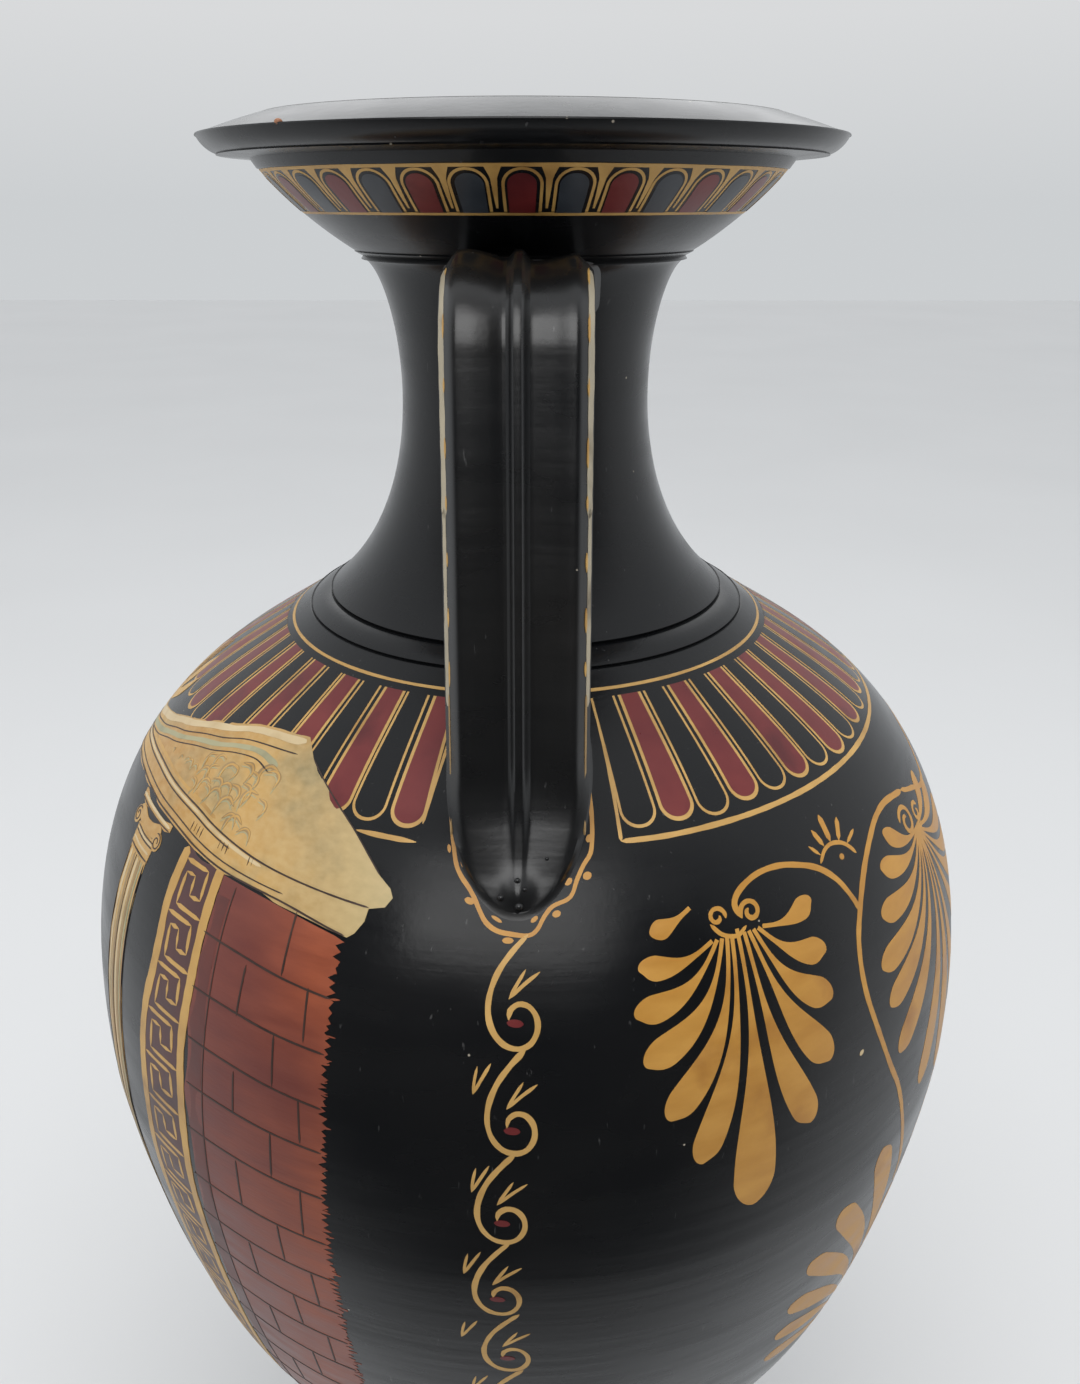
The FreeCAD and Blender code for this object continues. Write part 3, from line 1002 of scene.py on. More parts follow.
TONGUE_TOP = 573.3
TONGUE_LOW = 543.6
TONGUE_GAP = 0.55
TONGUE_LINE = 1.2


def tongue(brush, phi, top, low, pitch, inset, share=1, round_low=True):
    """A tongue down the wall, round at one end and cut square at the other.

    Its width is a share of the pitch between tongues, less an inset in millimetres at each side.
    """

    def half_at(s):
        return np.radians(pitch) / 2 * girth(s) * share - inset

    s_top, s_low = down(top), down(low)
    quarter = np.linspace(0, math.pi / 2, 9)
    if round_low:
        end = half_at(s_low)
        s = np.r_[np.linspace(s_top, s_low - end, 12), s_low - end + end * np.sin(quarter[1:])]
        half = half_at(s) * np.r_[np.ones(12), np.cos(quarter[1:] * 0.985)]
    else:
        end = half_at(s_top)
        s = np.r_[s_top + end - end * np.cos(quarter[:-1]), np.linspace(s_top + end, s_low, 10)]
        half = half_at(s) * np.r_[np.sin(quarter[:-1] + 0.015), np.ones(10)]
    brush.ribbon(phi, s[0], np.stack([np.zeros(len(s)), s - s[0]], 1), half)


def shoulder_tongues(first, pitch, count, first_is_red):
    """A row of tongues, alternately red and black, each inside an ochre outline."""
    for index in range(count):
        phi = first + pitch * index + rng.uniform(-0.15, 0.15)
        low = TONGUE_LOW + rng.uniform(-0.7, 0.7)
        is_red = (index % 2 == 0) == first_is_red
        outline = TONGUE_LINE * (1 if is_red else 0.78)
        tongue(thin_ochre, phi, TONGUE_TOP, low, abs(pitch), TONGUE_GAP)
        fill = red_coat if is_red else black_coat
        tongue(fill, phi, TONGUE_TOP, low + outline * 0.85, abs(pitch), TONGUE_GAP + outline)


# Both ways round from where each row begins beside the right handle: first angle, pitch, count.
shoulder_tongues(15.3, 5.65, 27, False)
shoulder_tongues(-16.5, -5.66, 27, True)

# The band's ends and lower line, on the palmette side and on the temple side.
band_end = [(13.2, 573), (12.7, 560), (12.1, 545), (12, 541.6)]
thin_ochre.line_through(band_end, 1.3, BEHIND)
lower_line = [(12, 541.6)] + [(phi, 541.3) for phi in (*range(18, 90, 8), 90)]
thin_ochre.line_through(lower_line, 2, BEHIND)
thin_ochre.line_through([(-14.3, 541.2), (-18, 541.4), (-22.8, 541.6)], 1.9, FRONT, ends=3)
thin_ochre.line_through([(-12.9, 573.2), (-13.4, 560), (-14, 545.5)], 1.1, FRONT)

OVOLO_COUNT = 36
OVOLO_PITCH = FULL_TURN / OVOLO_COUNT
OVOLO_TOP = 745.6
OVOLO_LOW = 733.2
OVOLO_SHARE = 0.80
DART = np.linspace(0, 16.5, 12)
DART_HALF = np.interp(DART, [0, 4, 16.5], [2.7, 1.1, 0.35])
ovolo_red, ovolo_dark = Brush(TEMPLE_COAT), Brush(TEMPLE_COAT)
for index in range(OVOLO_COUNT):
    even = index * OVOLO_PITCH - 0.4
    phi = even + rng.uniform(-0.25, 0.25)
    for brush, angle, top, low, inset in (
        (thin_ochre, phi, OVOLO_TOP, OVOLO_LOW, 0),
        (black_coat, phi, OVOLO_TOP - 0.75, OVOLO_LOW - 0.3, 1),
        ((ovolo_red, ovolo_dark)[index % 2], even, OVOLO_TOP - 1.5, OVOLO_LOW - 0.3, 1.9),
    ):
        tongue(brush, angle, top, low, OVOLO_PITCH, inset, OVOLO_SHARE, round_low=False)
    thin_ochre.ribbon(phi + OVOLO_PITCH / 2, down(745.8), np.stack([np.zeros(12), DART], 1), DART_HALF)

ovolo_red.mesh.build("ovolo_red", "red_slip", red)
smoke = slip("smoke_slip", (0.030, 0.036, 0.045), (0.045, 0.052, 0.062), (0.02, 0.024, 0.03), 0.34)
ovolo_dark.mesh.build("ovolo_dark", "black_glaze", smoke)

# ---- vine and wavy line at the handles
vine = Brush(fold=HANDLES)
vine_red = Brush(SECOND_COAT, HANDLES)
orange_line = Brush(fold=HANDLES)

WAVE_LEFT = [(-11.2, 556), (-10.4, 549), (-9.6, 543), (-8.8, 537.5), (-8, 534.5), (-7, 532), (-6.2, 529.5)]
WAVE_LOW = [(-5.5, 526.5), (-4.7, 523.5), (-3.5, 521.5), (-2, 520.7), (0, 520.3), (1, 521.8), (1.8, 525)]
WAVE_RIGHT = [(2.8, 527.5), (4.5, 529), (5.2, 530.5), (5.8, 533.5), (6.8, 537), (7.8, 539.5), (8.3, 543)]
WAVE_END = [(8.7, 548), (9, 555), (9.6, 562)]
orange_line.line_through(WAVE_LEFT + WAVE_LOW + WAVE_RIGHT + WAVE_END, 1.5)
WAVE_DABS = [
    (-10, 552.6, 4.6, 2.2, -30), (-9.9, 540.6, 3, 1.2, -75), (-7.8, 537.3, 3.6, 1.9, -60),
    (-6.7, 528.6, 3.4, 2.2, -20), (-3.5, 524.4, 4, 1.2, -30), (-2.2, 519, 3.7, 2, 0),
    (0.7, 524.4, 2.9, 1.5, 40), (3.2, 525.6, 2.9, 2.2, 20), (4.8, 533.3, 3, 2, 45),
    (7.1, 534.4, 3.1, 2.6, 30), (7.9, 543, 3, 2, 60), (9.2, 558, 2.8, 2, 80),
]
for phi, z, long, wide, lean in WAVE_DABS:
    orange_line.dot(phi, z, long, wide, lean)

# One curl of the vine: (across, down) in millimetres from where it starts.
CURL = [
    (0, 0), (-5, 5.2), (-9.6, 11.5), (-12.4, 18.5), (-13, 25), (-11.4, 30.6), (-7.8, 34.6), (-3.2, 35.8),
    (0.6, 34.2), (2.8, 30.2), (2.6, 25.8), (0.2, 22.4), (-3.2, 21.6), (-5.9, 23.6), (-6.4, 26.6),
]
CURL_DROP = 36.6
VINE_START = 520.6
VINE_DRIFT = [0, -0.3, -1.3, -1.9, -1.1, -0.8, -1.2, -0.9]
# Short sprigs beside each curl: (how far down they start, flat points, width).
SPRIGS = [
    (20.4, [(-6.3, 0), (-1.4, -4.6), (3.8, -8.6)], 1.2),
    (20.4, [(-6.3, 0), (-3.6, -4.8), (-0.8, -9.4)], 1.1),
    (CURL_DROP + 15.6, [(-18.2, 0), (-15.4, -5.2), (-12.2, -10.8)], 1.1),
    (CURL_DROP + 15.6, [(-18.2, 0), (-17.6, -5), (-16.6, -9.6)], 1),
]
for index, drift in enumerate(VINE_DRIFT):
    s = down(VINE_START) + CURL_DROP * index
    size = 1 - 0.03 * (index % 2)
    vine.stroke(drift, s, [(x * size, y * 1.02) for x, y in CURL], 1.9, ends=1.5, hand=0.2)
    for further, sprig, width in SPRIGS:
        vine.stroke(drift, s + further, sprig, width, ends=2.5)
    vine_red.dot(drift - 1.35, height(s + 28.2), 5.4, 2.6, -5)

# ---- palmettes and tendrils
petals = Brush(fold=BEHIND)
tendrils = Brush(fold=BEHIND)


STALK_HALF = 0.75


def petal(heart, tip, wide, bend=0, nib=0, fold=None):
    """A palmette petal: a thin stalk from the heart that swells and rounds off at its tip.

    heart and tip are (angle, height); bend pushes the middle sideways, in millimetres.
    """
    s0, s1 = down(heart[1]), down(tip[1])
    end = np.array([math.radians(tip[0] - heart[0]) * girth(s1), s1 - s0])
    length = np.hypot(*end)
    side = np.array([-end[1], end[0]]) / length
    t = np.sin(np.linspace(0, math.pi / 2, 34))
    centre = t[:, None] * end + (np.sin(t * math.pi) * bend)[:, None] * side
    swell = np.clip((t - 0.12) / 0.73, 0, 1)
    half = STALK_HALF + (wide / 2 - STALK_HALF) * (swell * swell * (3 - 2 * swell)) ** 1.42
    bulb = min(0.45, wide / 2 / length * 1.45)
    rounding = np.clip((t - (1 - bulb)) / bulb, 0, 1)
    half = half * np.clip(1 - rounding**1.75, 0.001, 1) ** 0.58
    centre = centre + side * (rounding**4 * nib)[:, None]
    petals.ribbon(heart[0], s0, centre, half, fold)


def fan(heart, tips, nib, centre):
    """A palmette whose far half mirrors its near half; centre is the middle petal's height and width."""
    for phi, z, wide, bend in tips:
        petal(heart, (phi, z), wide, bend, nib)
        petal(heart, (2 * heart[0] - phi, z), wide, -bend, -nib)
    petal(heart, (heart[0], centre[0]), centre[1])


HEART = (23.7, 514.5)
LEFT_TIPS = [
    (11.6, 509.5, 8.6, -3), (10.7, 496, 9.6, -5), (11.4, 480, 11, -6.5),
    (13.6, 460, 11.4, -6.5), (16.9, 440.5, 11.4, -4),
]
RIGHT_TIPS = [
    (30.4, 440.5, 11.6, 5), (33.3, 461.5, 11.8, 4.5), (34.4, 483, 10.8, 5),
    (34.8, 499, 9.6, 3.5), (34.6, 515.5, 8.4, 2.5),
]
TOP_LEFT_STALK = (18.6, 523)
TOP_LEFT_TIP = (13.4, 518, 7.4, -0.8)
CENTRE_TIP = (23.1, 415, 17)
STALK_SPREAD = 0.62
for index, (phi, z, wide, bend) in enumerate(LEFT_TIPS):
    petal((HEART[0] - 0.8 - STALK_SPREAD * (4 - index), HEART[1] - 1.5), (phi, z), wide, bend, -1.2)
for index, (phi, z, wide, bend) in enumerate(RIGHT_TIPS):
    petal((HEART[0] + 0.8 + STALK_SPREAD * index, HEART[1] - 1.5), (phi, z), wide, bend, 1.2)
petal(TOP_LEFT_STALK, TOP_LEFT_TIP[:2], *TOP_LEFT_TIP[2:])
petal(HEART, CENTRE_TIP[:2], CENTRE_TIP[2])


def coil(radius, start, turns, count, pinch):
    """Flat points that wind in towards an eye."""
    t = np.linspace(0, 1, count)
    turn = np.radians(start) + t * turns * 2 * math.pi
    reach = radius * (1 - pinch * t)
    return np.stack([reach * np.cos(turn), -reach * np.sin(turn)], 1)


def spiral(phi, z, radius, start, turns, width):
    """A volute at the heart of a palmette."""
    tendrils.stroke(phi, down(z), coil(radius, start, turns, 26, 0.72), width)


spiral(26, 518, 4.2, 200, -1.25, 1.7)
spiral(21.6, 519, 3.4, -20, 1.1, 1.5)
tendrils.line_through([(20.6, 517.5), (21.8, 514), (23.6, 512.6), (25, 514.6)], 1.5)
stem = [(24.6, 517), (24.2, 521), (25.4, 524.3), (28.2, 526.8), (31.4, 527), (34.4, 525.2)]
stem += [(37.4, 521.8), (39.7, 516), (41.2, 508), (41.5, 504)]
tendrils.line_through(stem, 2.1)

BUD_ARC = [(38.1, 522.5), (39.6, 525.2), (41.3, 525.9), (43.1, 524.5), (44.2, 522), (44.8, 519.6)]
tendrils.line_through(BUD_ARC, 1.5)
for foot_place, tip, width in (
    ((38.7, 524.6), (37.4, 528.2), 1.4), ((39.9, 526.3), (39.1, 531.6), 2.2),
    ((41.3, 526.6), (41.6, 534.2), 2.4), ((42.8, 525.6), (44.5, 531.2), 2.1),
    ((44, 523.6), (46.4, 525.8), 1.6),
):
    tendrils.line_through([foot_place, tip], width, ends=0.8)
tendrils.dot(42, 521.2, 2.6, 2.2, 0)

MAIN_TENDRIL = [
    (62.2, 522), (56.3, 524.8), (52.2, 524), (48.8, 520.7), (45.8, 516), (43.5, 510.5), (41.5, 503.5),
    (40.1, 496), (39.5, 486.5), (39.7, 476), (40.6, 465), (42, 452), (43.5, 440), (45.3, 428),
    (46.6, 417), (47.7, 406), (48.9, 394), (50.3, 382), (52, 368), (53.2, 352),
]
tendrils.line_through(MAIN_TENDRIL, 2.5)

# The larger palmette further round, whose far half mirrors its near half about the middle of this side.
spiral(59.1, 514, 6.8, 160, -1.3, 2)
spiral(63.4, 512, 4.2, 20, 1.1, 1.7)
tendrils.line_through([(60.6, 509), (62, 506.4), (63.8, 508)], 1.8)
SECOND_HEART = (61.2, 509)
SECOND_TIPS = [
    (51.7, 519, 8, -4), (48, 511, 9, -5), (45.1, 497.5, 10, -6.5), (43, 481, 11, -8),
    (43.7, 465, 11, -8.5), (45.3, 442, 12, -8), (52.2, 411, 13.5, -5),
]
fan(SECOND_HEART, SECOND_TIPS, -0.8, (397, 17))

# The palmette that rises from the ground line.
RISING_HEART = (54, 262)
RISING_TIPS = [
    (43.6, 399, 13, 6), (37.2, 381.5, 12.5, 9), (33.8, 359, 11.5, 10), (32.7, 333, 11, 9),
    (32.3, 312.5, 10, 7), (32.4, 293, 9.5, 4),
]
fan(RISING_HEART, RISING_TIPS, 0.8, (346, 14))
spiral(50.6, 258, 5.2, 60, 1.2, 1.8)
spiral(57.4, 258, 5.2, 120, -1.2, 1.8)

# A tall palmette on the middle of this side, between the two halves.
MIDDLE = 90 - VIEW_TURN
MIDDLE_HEART = (MIDDLE, 300)
MIDDLE_FAN = [
    (17, 318, 9.5, 5), (18.5, 341, 10.5, 8), (17.5, 366, 11.5, 9), (14, 392, 12, 8),
    (8, 413, 12.5, 4),
]
for offset, z, wide, bend in MIDDLE_FAN:
    petal(MIDDLE_HEART, (MIDDLE - offset, z), wide, bend, 0.8)
petal(MIDDLE_HEART, (MIDDLE, 428), 16, fold=ONCE)
spiral(MIDDLE - 3.2, 294, 5.5, 60, 1.2, 1.9)
low_stem = [(MIDDLE - 4, 290), (MIDDLE - 10, 276), (MIDDLE - 20, 268), (58, 262)]
tendrils.line_through(low_stem, 2.3)
top_stem = [(MIDDLE, 524), (MIDDLE - 6, 521), (74, 511), (66, 518), (62.2, 522)]
tendrils.line_through(top_stem, 2.4)

speck = Brush()
speck.dot(38, 456, 2.6, 1.8, 30)

# ---- temple side
brick_wall, maroon_paint = Brush(SECOND_COAT, FRONT), Brush(SECOND_COAT, FRONT)
sand_paint, ochre_temple, key_paint, dark_strip = (Brush(TEMPLE_COAT, FRONT) for _ in range(4))
cream_block = Brush(TEMPLE_COAT)
cream_paint, sage_paint, shade_paint, joints = (Brush(TEMPLE_DETAIL, FRONT) for _ in range(4))
umber_paint, relief_light = Brush(TEMPLE_DRAWING, FRONT), Brush(TEMPLE_DRAWING, FRONT)
TEMPLE_MIDDLE = -90 - VIEW_TURN
GROUND = 250

ROOF_TOP = [
    (TEMPLE_MIDDLE, 527), (-86, 530.5), (-80, 535.5), (-75, 539.2), (-70, 543.4), (-66, 546),
    (-60, 550.3), (-55, 552.9), (-50, 555.8), (-45, 557.2), (-38, 558.2),
]
ROOF_RIGHT = [(-34.6, 554), (-30, 549.5), (-25, 544), (-22.4, 540.5), (-19.8, 536), (-17.8, 532)]
ROOF_TIP = [(-16.2, 529.4), (-15.7, 527.2), (-16.4, 524.6), (-18.3, 523.5)]
UPPER_LINE = [
    (TEMPLE_MIDDLE, 520.5), (-85, 523.2), (-80, 526), (-74, 529), (-66, 531.3), (-58, 531.6),
    (-50, 531.3), (-45, 530), (-40, 528.6), (-34, 527), (-26, 525.4), (-18.3, 523.8),
]
LOWER_LINE = [
    (TEMPLE_MIDDLE, 512.5), (-85, 515.4), (-80, 518.2), (-74, 521.2), (-66, 523.3), (-58, 523.6),
    (-52, 523.4), (-46, 522), (-40, 520.7), (-29.6, 519.4), (-20.5, 515.2),
]


def shifted(places, by, before=0):
    """The places left of an angle, moved up by some millimetres of height."""
    return [(phi, z + by) for phi, z in places if phi < before]


def about_middle(places):
    """Places for offsets from the angle of the temple's middle."""
    return [(TEMPLE_MIDDLE + offset, z) for offset, z in places]


roof = ROOF_TOP + ROOF_RIGHT + ROOF_TIP
eaves = [(-18.5, 520), (-19.4, 516.4), (-20.2, 514.9), (-22, 515.6), (-29.6, 518.2)]
eaves += shifted(LOWER_LINE[::-1], -0.9, -35)
sand_paint.area(roof + eaves, 4.5)
cream_paint.line_through(shifted(ROOF_TOP, -1.5), 3.4, ends=0.6)
sage_paint.line_through(shifted(ROOF_TOP[:-1] + [(-40, 556)], -6.4), 2.4, ends=2)
umber_paint.line_through(shifted(ROOF_TOP, -4.4), 0.55)
umber_paint.line_through(shifted(ROOF_TOP[:-1] + [(-41, 555.9)], -8.3), 0.5)
umber_paint.line_through(shifted(ROOF_RIGHT, 0.1), 0.45)
umber_paint.line_through(UPPER_LINE, 0.6)
umber_paint.line_through(shifted(UPPER_LINE, -2, -34), 0.5)
umber_paint.line_through(LOWER_LINE, 0.6)
umber_paint.line_through(shifted(LOWER_LINE, 2, -29), 0.45)
cream_paint.line_through(shifted(UPPER_LINE, -1, -30), 1.2)
ochre_temple.line_through(shifted(UPPER_LINE, 1.6, -40), 1.3)
for start in (-48.5, -47.7, -46.9, -46.1, -42, -41.2, -40.4, -36.2, -35.6):
    umber_paint.line_through([(start, 527.6), (start + 0.1, 524.4 + rng.uniform(0, 1))], 0.4)


FROND_SPINE = [(-1, 0.5), (-0.45, -0.35), (0.35, -0.45), (1, 0.25)]


def frond(phi, z, size, lean):
    """A leaf of the gable's relief: a fat curved body, a lit edge and a thin shadow beside it."""
    turn = math.radians(lean)
    cos, sin = math.cos(turn), math.sin(turn)
    points = np.array([(size * (x * cos - y * sin), size * (x * sin + y * cos)) for x, y in FROND_SPINE])
    s = down(z)
    shade_paint.stroke(phi, s, points, size * 0.42, ends=2.5, step=0.9)
    relief_light.stroke(phi, s, points * 0.9 + (0.3, -0.4), size * 0.16, ends=4, step=0.9)
    sage_paint.stroke(phi, s, points * 1.02 + (0.1, size * 0.32), 0.5, ends=3, step=0.9)


for phi in np.arange(-85, -37.5, 2.1):
    roof_z = np.interp(phi, *zip(*ROOF_TOP)) - 10
    base_z = np.interp(phi, *zip(*UPPER_LINE)) + 3.4
    room = roof_z - base_z
    for share in (0.12, 0.48, 0.84) if room > 8 else (0.5,):
        size = min(4.6, room * 0.38) * rng.uniform(0.75, 1.2)
        if size > 0.9:
            z = base_z + room * share + rng.uniform(-0.12, 0.12) * room
            frond(phi + rng.uniform(-0.8, 0.8), z, size, rng.uniform(-70, 70))

# The ornament over the middle of the front, in the dip between the two gables.
for offset, tip_z, wide in ((0, 556, 8), (4.6, 552.5, 7), (8.6, 546, 6)):
    s0 = down(529)
    rise = down(tip_z) - s0
    reach = math.radians(-offset) * girth(down(tip_z))
    leaf = [(0, 0), (reach * 0.75, rise * 0.5), (reach, rise)]
    sand_paint.stroke(TEMPLE_MIDDLE, s0, leaf, wide, ends=1.4)

# Ionic column: abacus, volutes, necking and a fluted shaft.
COLUMN_LEFT, COLUMN_RIGHT = -60.8, -54.7
SHAFT_TOP = 506
shaft = [(COLUMN_LEFT, SHAFT_TOP), (COLUMN_RIGHT, SHAFT_TOP)]
shaft += [(COLUMN_RIGHT - 0.1, z) for z in range(490, 260, -20)]
shaft += [(COLUMN_RIGHT, 262), (COLUMN_LEFT, 262)]
shaft += [(COLUMN_LEFT + 0.1, z) for z in range(270, 500, 20)]
sand_paint.area(shaft, 5)
sand_paint.area([(-61.3, 513.5), (-61, 506), (-54.6, 506), (-54.4, 513.5)], 3)
ABACUS = [(-64.6, 522.2), (-64.2, 519.4), (-62.5, 518.6), (-53.6, 518.8), (-52.3, 519.8), (-52.3, 522)]
sand_paint.area(ABACUS, 3)
cream_paint.line_through([(-64.4, 520.6), (-58, 520.8), (-52.6, 520.8)], 1.2)
umber_paint.line_through([(-64.2, 519.4), (-58, 519.4), (-52.4, 519.8)], 0.5)
sand_paint.line_through([(-63, 517.4), (-58.5, 515), (-54.2, 517.6)], 5.4, ends=0.4)
for centre, start, turns in ((-62.8, 60, 1.4), (-54.3, 120, -1.4)):
    sand_paint.dot(centre, 514.2, 7.4, 7.4, 0)
    umber_paint.stroke(centre, down(514.2), coil(3.4, start, turns, 24, 0.75), 0.55, step=0.7)
for z in (512.8, 511.2, 506.4):
    umber_paint.line_through([(-61.1, z), (-58, z - 0.4), (-54.6, z)], 0.5)
for z in (512, 508.8):
    cream_paint.line_through([(-60.9, z), (-58, z - 0.4), (-54.8, z)], 1)
FLUTE_HEIGHTS = [505, 470, 430, 390, 350, 310, 264]
for brush, offsets, width in (
    (cream_paint, (-59.8, -57.2), 2), (shade_paint, (-58.5, -56.3), 1.7),
    (umber_paint, (-60.6, -57.9, -54.9), 0.45), (sage_paint, (-55.6,), 1.3),
):
    for offset in offsets:
        brush.line_through([(offset + rng.uniform(-0.08, 0.08), z) for z in FLUTE_HEIGHTS], width)
sand_paint.area([(-62.4, 262.5), (-53.2, 262.5), (-52.6, GROUND), (-63, GROUND)], 4)
cream_paint.line_through([(-62.2, 258.5), (-58, 258.5), (-53.4, 258.5)], 2.2)
umber_paint.line_through([(-62.6, 255.5), (-58, 255.5), (-53, 255.5)], 0.5)

# Meander pilaster: two ochre borders, a maroon ground and a running key.
PILASTER_TOP = 521
LEFT_BORDER = [(-47, PILASTER_TOP), (-47.1, 503), (-46.7, 490), (-46.9, 477), (-47.7, 463)]
LEFT_BORDER += [(-48.2, z) for z in (445, 420, 380, 340, 300, GROUND)]
RIGHT_BORDER = [(-39.8, PILASTER_TOP), (-39.6, 500), (-39.6, 485), (-39.8, 475), (-40.2, 458)]
RIGHT_BORDER += [(-40.3, z) for z in (440, 400, 360, 300, GROUND)]
maroon_paint.area(LEFT_BORDER + RIGHT_BORDER[::-1], 5)
ochre_temple.line_through(LEFT_BORDER, 4.6, ends=0.3)
ochre_temple.line_through(RIGHT_BORDER, 4.3, ends=0.3)
KEY_PITCH = 20.2
KEY_HOOKS = [
    [(0, 0.03), (0.80, 0.03), (0.84, 0.56), (0.50, 0.58), (0.46, 0.22), (0.16, 0.23)],
    [(0.16, 0.23), (0.18, 0.84), (1, 0.86)],
]


def meander(index, hook):
    """One hook of the key at its place down the pilaster."""
    top = down(PILASTER_TOP) + 3 + KEY_PITCH * index
    left_phi, left_z = np.array(LEFT_BORDER).T
    right_phi, right_z = np.array(RIGHT_BORDER).T
    corners = []
    for u, v in hook:
        s = top + v * KEY_PITCH
        left = np.interp(s, down(left_z), left_phi) + 0.75
        right = np.interp(s, down(right_z), right_phi) - 0.65
        corners.append((left + (right - left) * u, height(s)))
    return corners


KEY_COUNT = int((down(GROUND) - down(PILASTER_TOP) - 4) / KEY_PITCH)
for index in range(KEY_COUNT):
    for hook in KEY_HOOKS:
        corners = meander(index, hook)
        for start, end in zip(corners, corners[1:]):
            key_paint.line_through([start, end], 1.6, ends=0.25, step=2.5, hand=0.2)

# Brick wall with a brushed right edge, brick joints and a darker strip beside the pilaster.
WALL_TOP = [(-39, 519.6), (-34, 519), (-29.6, 518), (-25, 516.2), (-21.6, 514.6)]
edge = []
z = 513.5
while z > GROUND + 1:
    edge.append((-20.4 + rng.uniform(-0.25, 0.2), z))
    z -= rng.uniform(0.8, 2.2)
    edge.append((-20.9 - rng.uniform(-0.1, 0.7), z))
    z -= rng.uniform(0.6, 1.6)
WALL_FOOT = [(-21, GROUND), (-39.6, GROUND), (-39.6, 440), (-39.3, 470)]
brick_wall.area(WALL_TOP + edge + WALL_FOOT, 5.5)
for _ in range(46):
    z = rng.uniform(GROUND + 3, 510)
    reach = rng.uniform(1.2, 4.2)
    rise = rng.uniform(-0.6, 0.3)
    bristle = [(0, 0), (reach / 2, rise / 2), (reach, rise)]
    brick_wall.stroke(-21, down(z), bristle, rng.uniform(0.5, 1.1), ends=3)
COURSES = [(501.6, 496.6), (482.6, 478.6), (463.6, 459.2), (444.6, 442), (424.6, 422.6), (402, 401)]
COURSES += [(382, 381.5), (361.5, 361)] + [(z, z) for z in (341, 321, 301, 281, 263)]
for left, right in COURSES:
    near, far = left * 0.7 + right * 0.3 + 0.3, left * 0.35 + right * 0.65
    joints.line_through([(-39.2, left), (-33, near), (-27, far), (-20.9, right)], 0.75)
tops = [518.6] + [right + (left - right) * 0.4 for left, right in COURSES]
for index, (upper, lower) in enumerate(zip(tops, tops[1:] + [GROUND])):
    places = (-27,) if index % 2 == 0 else (-31.9, -23.6)
    for phi in places:
        lean = rng.uniform(-0.25, 0.25)
        joints.line_through([(phi, upper - 0.5), (phi + lean, lower + 0.4)], 0.75, ends=0.5)
SIDE_JOINT = [(-36.4, 518), (-36.3, 480), (-36.6, 430), (-36.5, 380), (-36.5, 320), (-36.5, GROUND)]
joints.line_through(SIDE_JOINT, 0.5)
strip_left = [(-38.9, z) for z in range(514, int(GROUND), -22)]
strip_right = [(-36.6 + rng.uniform(-0.2, 0.2), z) for z in range(514, int(GROUND), -22)]
dark_strip.area(strip_left + strip_right[::-1], 5)

# An urn on a plinth between the columns.
URN = [
    (0, 470), (3.6, 470), (4, 467), (2.4, 462), (2.2, 448), (3.6, 440), (7.6, 430), (9.6, 414),
    (9.4, 396), (7.4, 376), (4.6, 356), (2.6, 340), (2.4, 332), (4.8, 328), (5, 323), (0, 323),
]
sand_paint.area(about_middle(URN + [(-offset, z) for offset, z in URN[-2:0:-1]]), 4.5, ONCE)
for offset in (-6.5, -3.2, 0, 3.2, 6.5):
    gadroon = about_middle([(offset * 0.9, 424), (offset, 400), (offset * 0.4, 346)])
    umber_paint.line_through(gadroon, 0.5, ONCE)
for z, half in ((463, 2.4), (441, 3.6), (427, 8), (332, 2.6)):
    umber_paint.line_through(about_middle([(-half, z), (0, z - 0.6), (half, z)]), 0.6, ONCE)
    cream_paint.line_through(about_middle([(-half, z - 2.2), (0, z - 2.8), (half, z - 2.2)]), 1.6, ONCE)
HANDLE_ARC = [(3.2, 466), (6.6, 469), (9.6, 462), (10.4, 448), (9, 432), (7.6, 426)]
sand_paint.line_through(about_middle(HANDLE_ARC), 2.4)
PLINTH_HALF = [(9, 320), (9, 314), (7.6, 312), (7.6, 262), (9.4, 259), (9.4, GROUND)]
left_half = [(-offset, z) for offset, z in PLINTH_HALF]
cream_block.area(about_middle(left_half[:1] + PLINTH_HALF + left_half[:0:-1]), 5)
for z in (313, 261):
    umber_paint.line_through(about_middle([(-7.6, z), (0, z), (7.6, z)]), 0.6, ONCE)
GROUND_LINE = [(phi, 249.2) for phi in (TEMPLE_MIDDLE, -75, -60, -45, -30, -20.6)]
thin_ochre.line_through(GROUND_LINE, 2.2, FRONT)

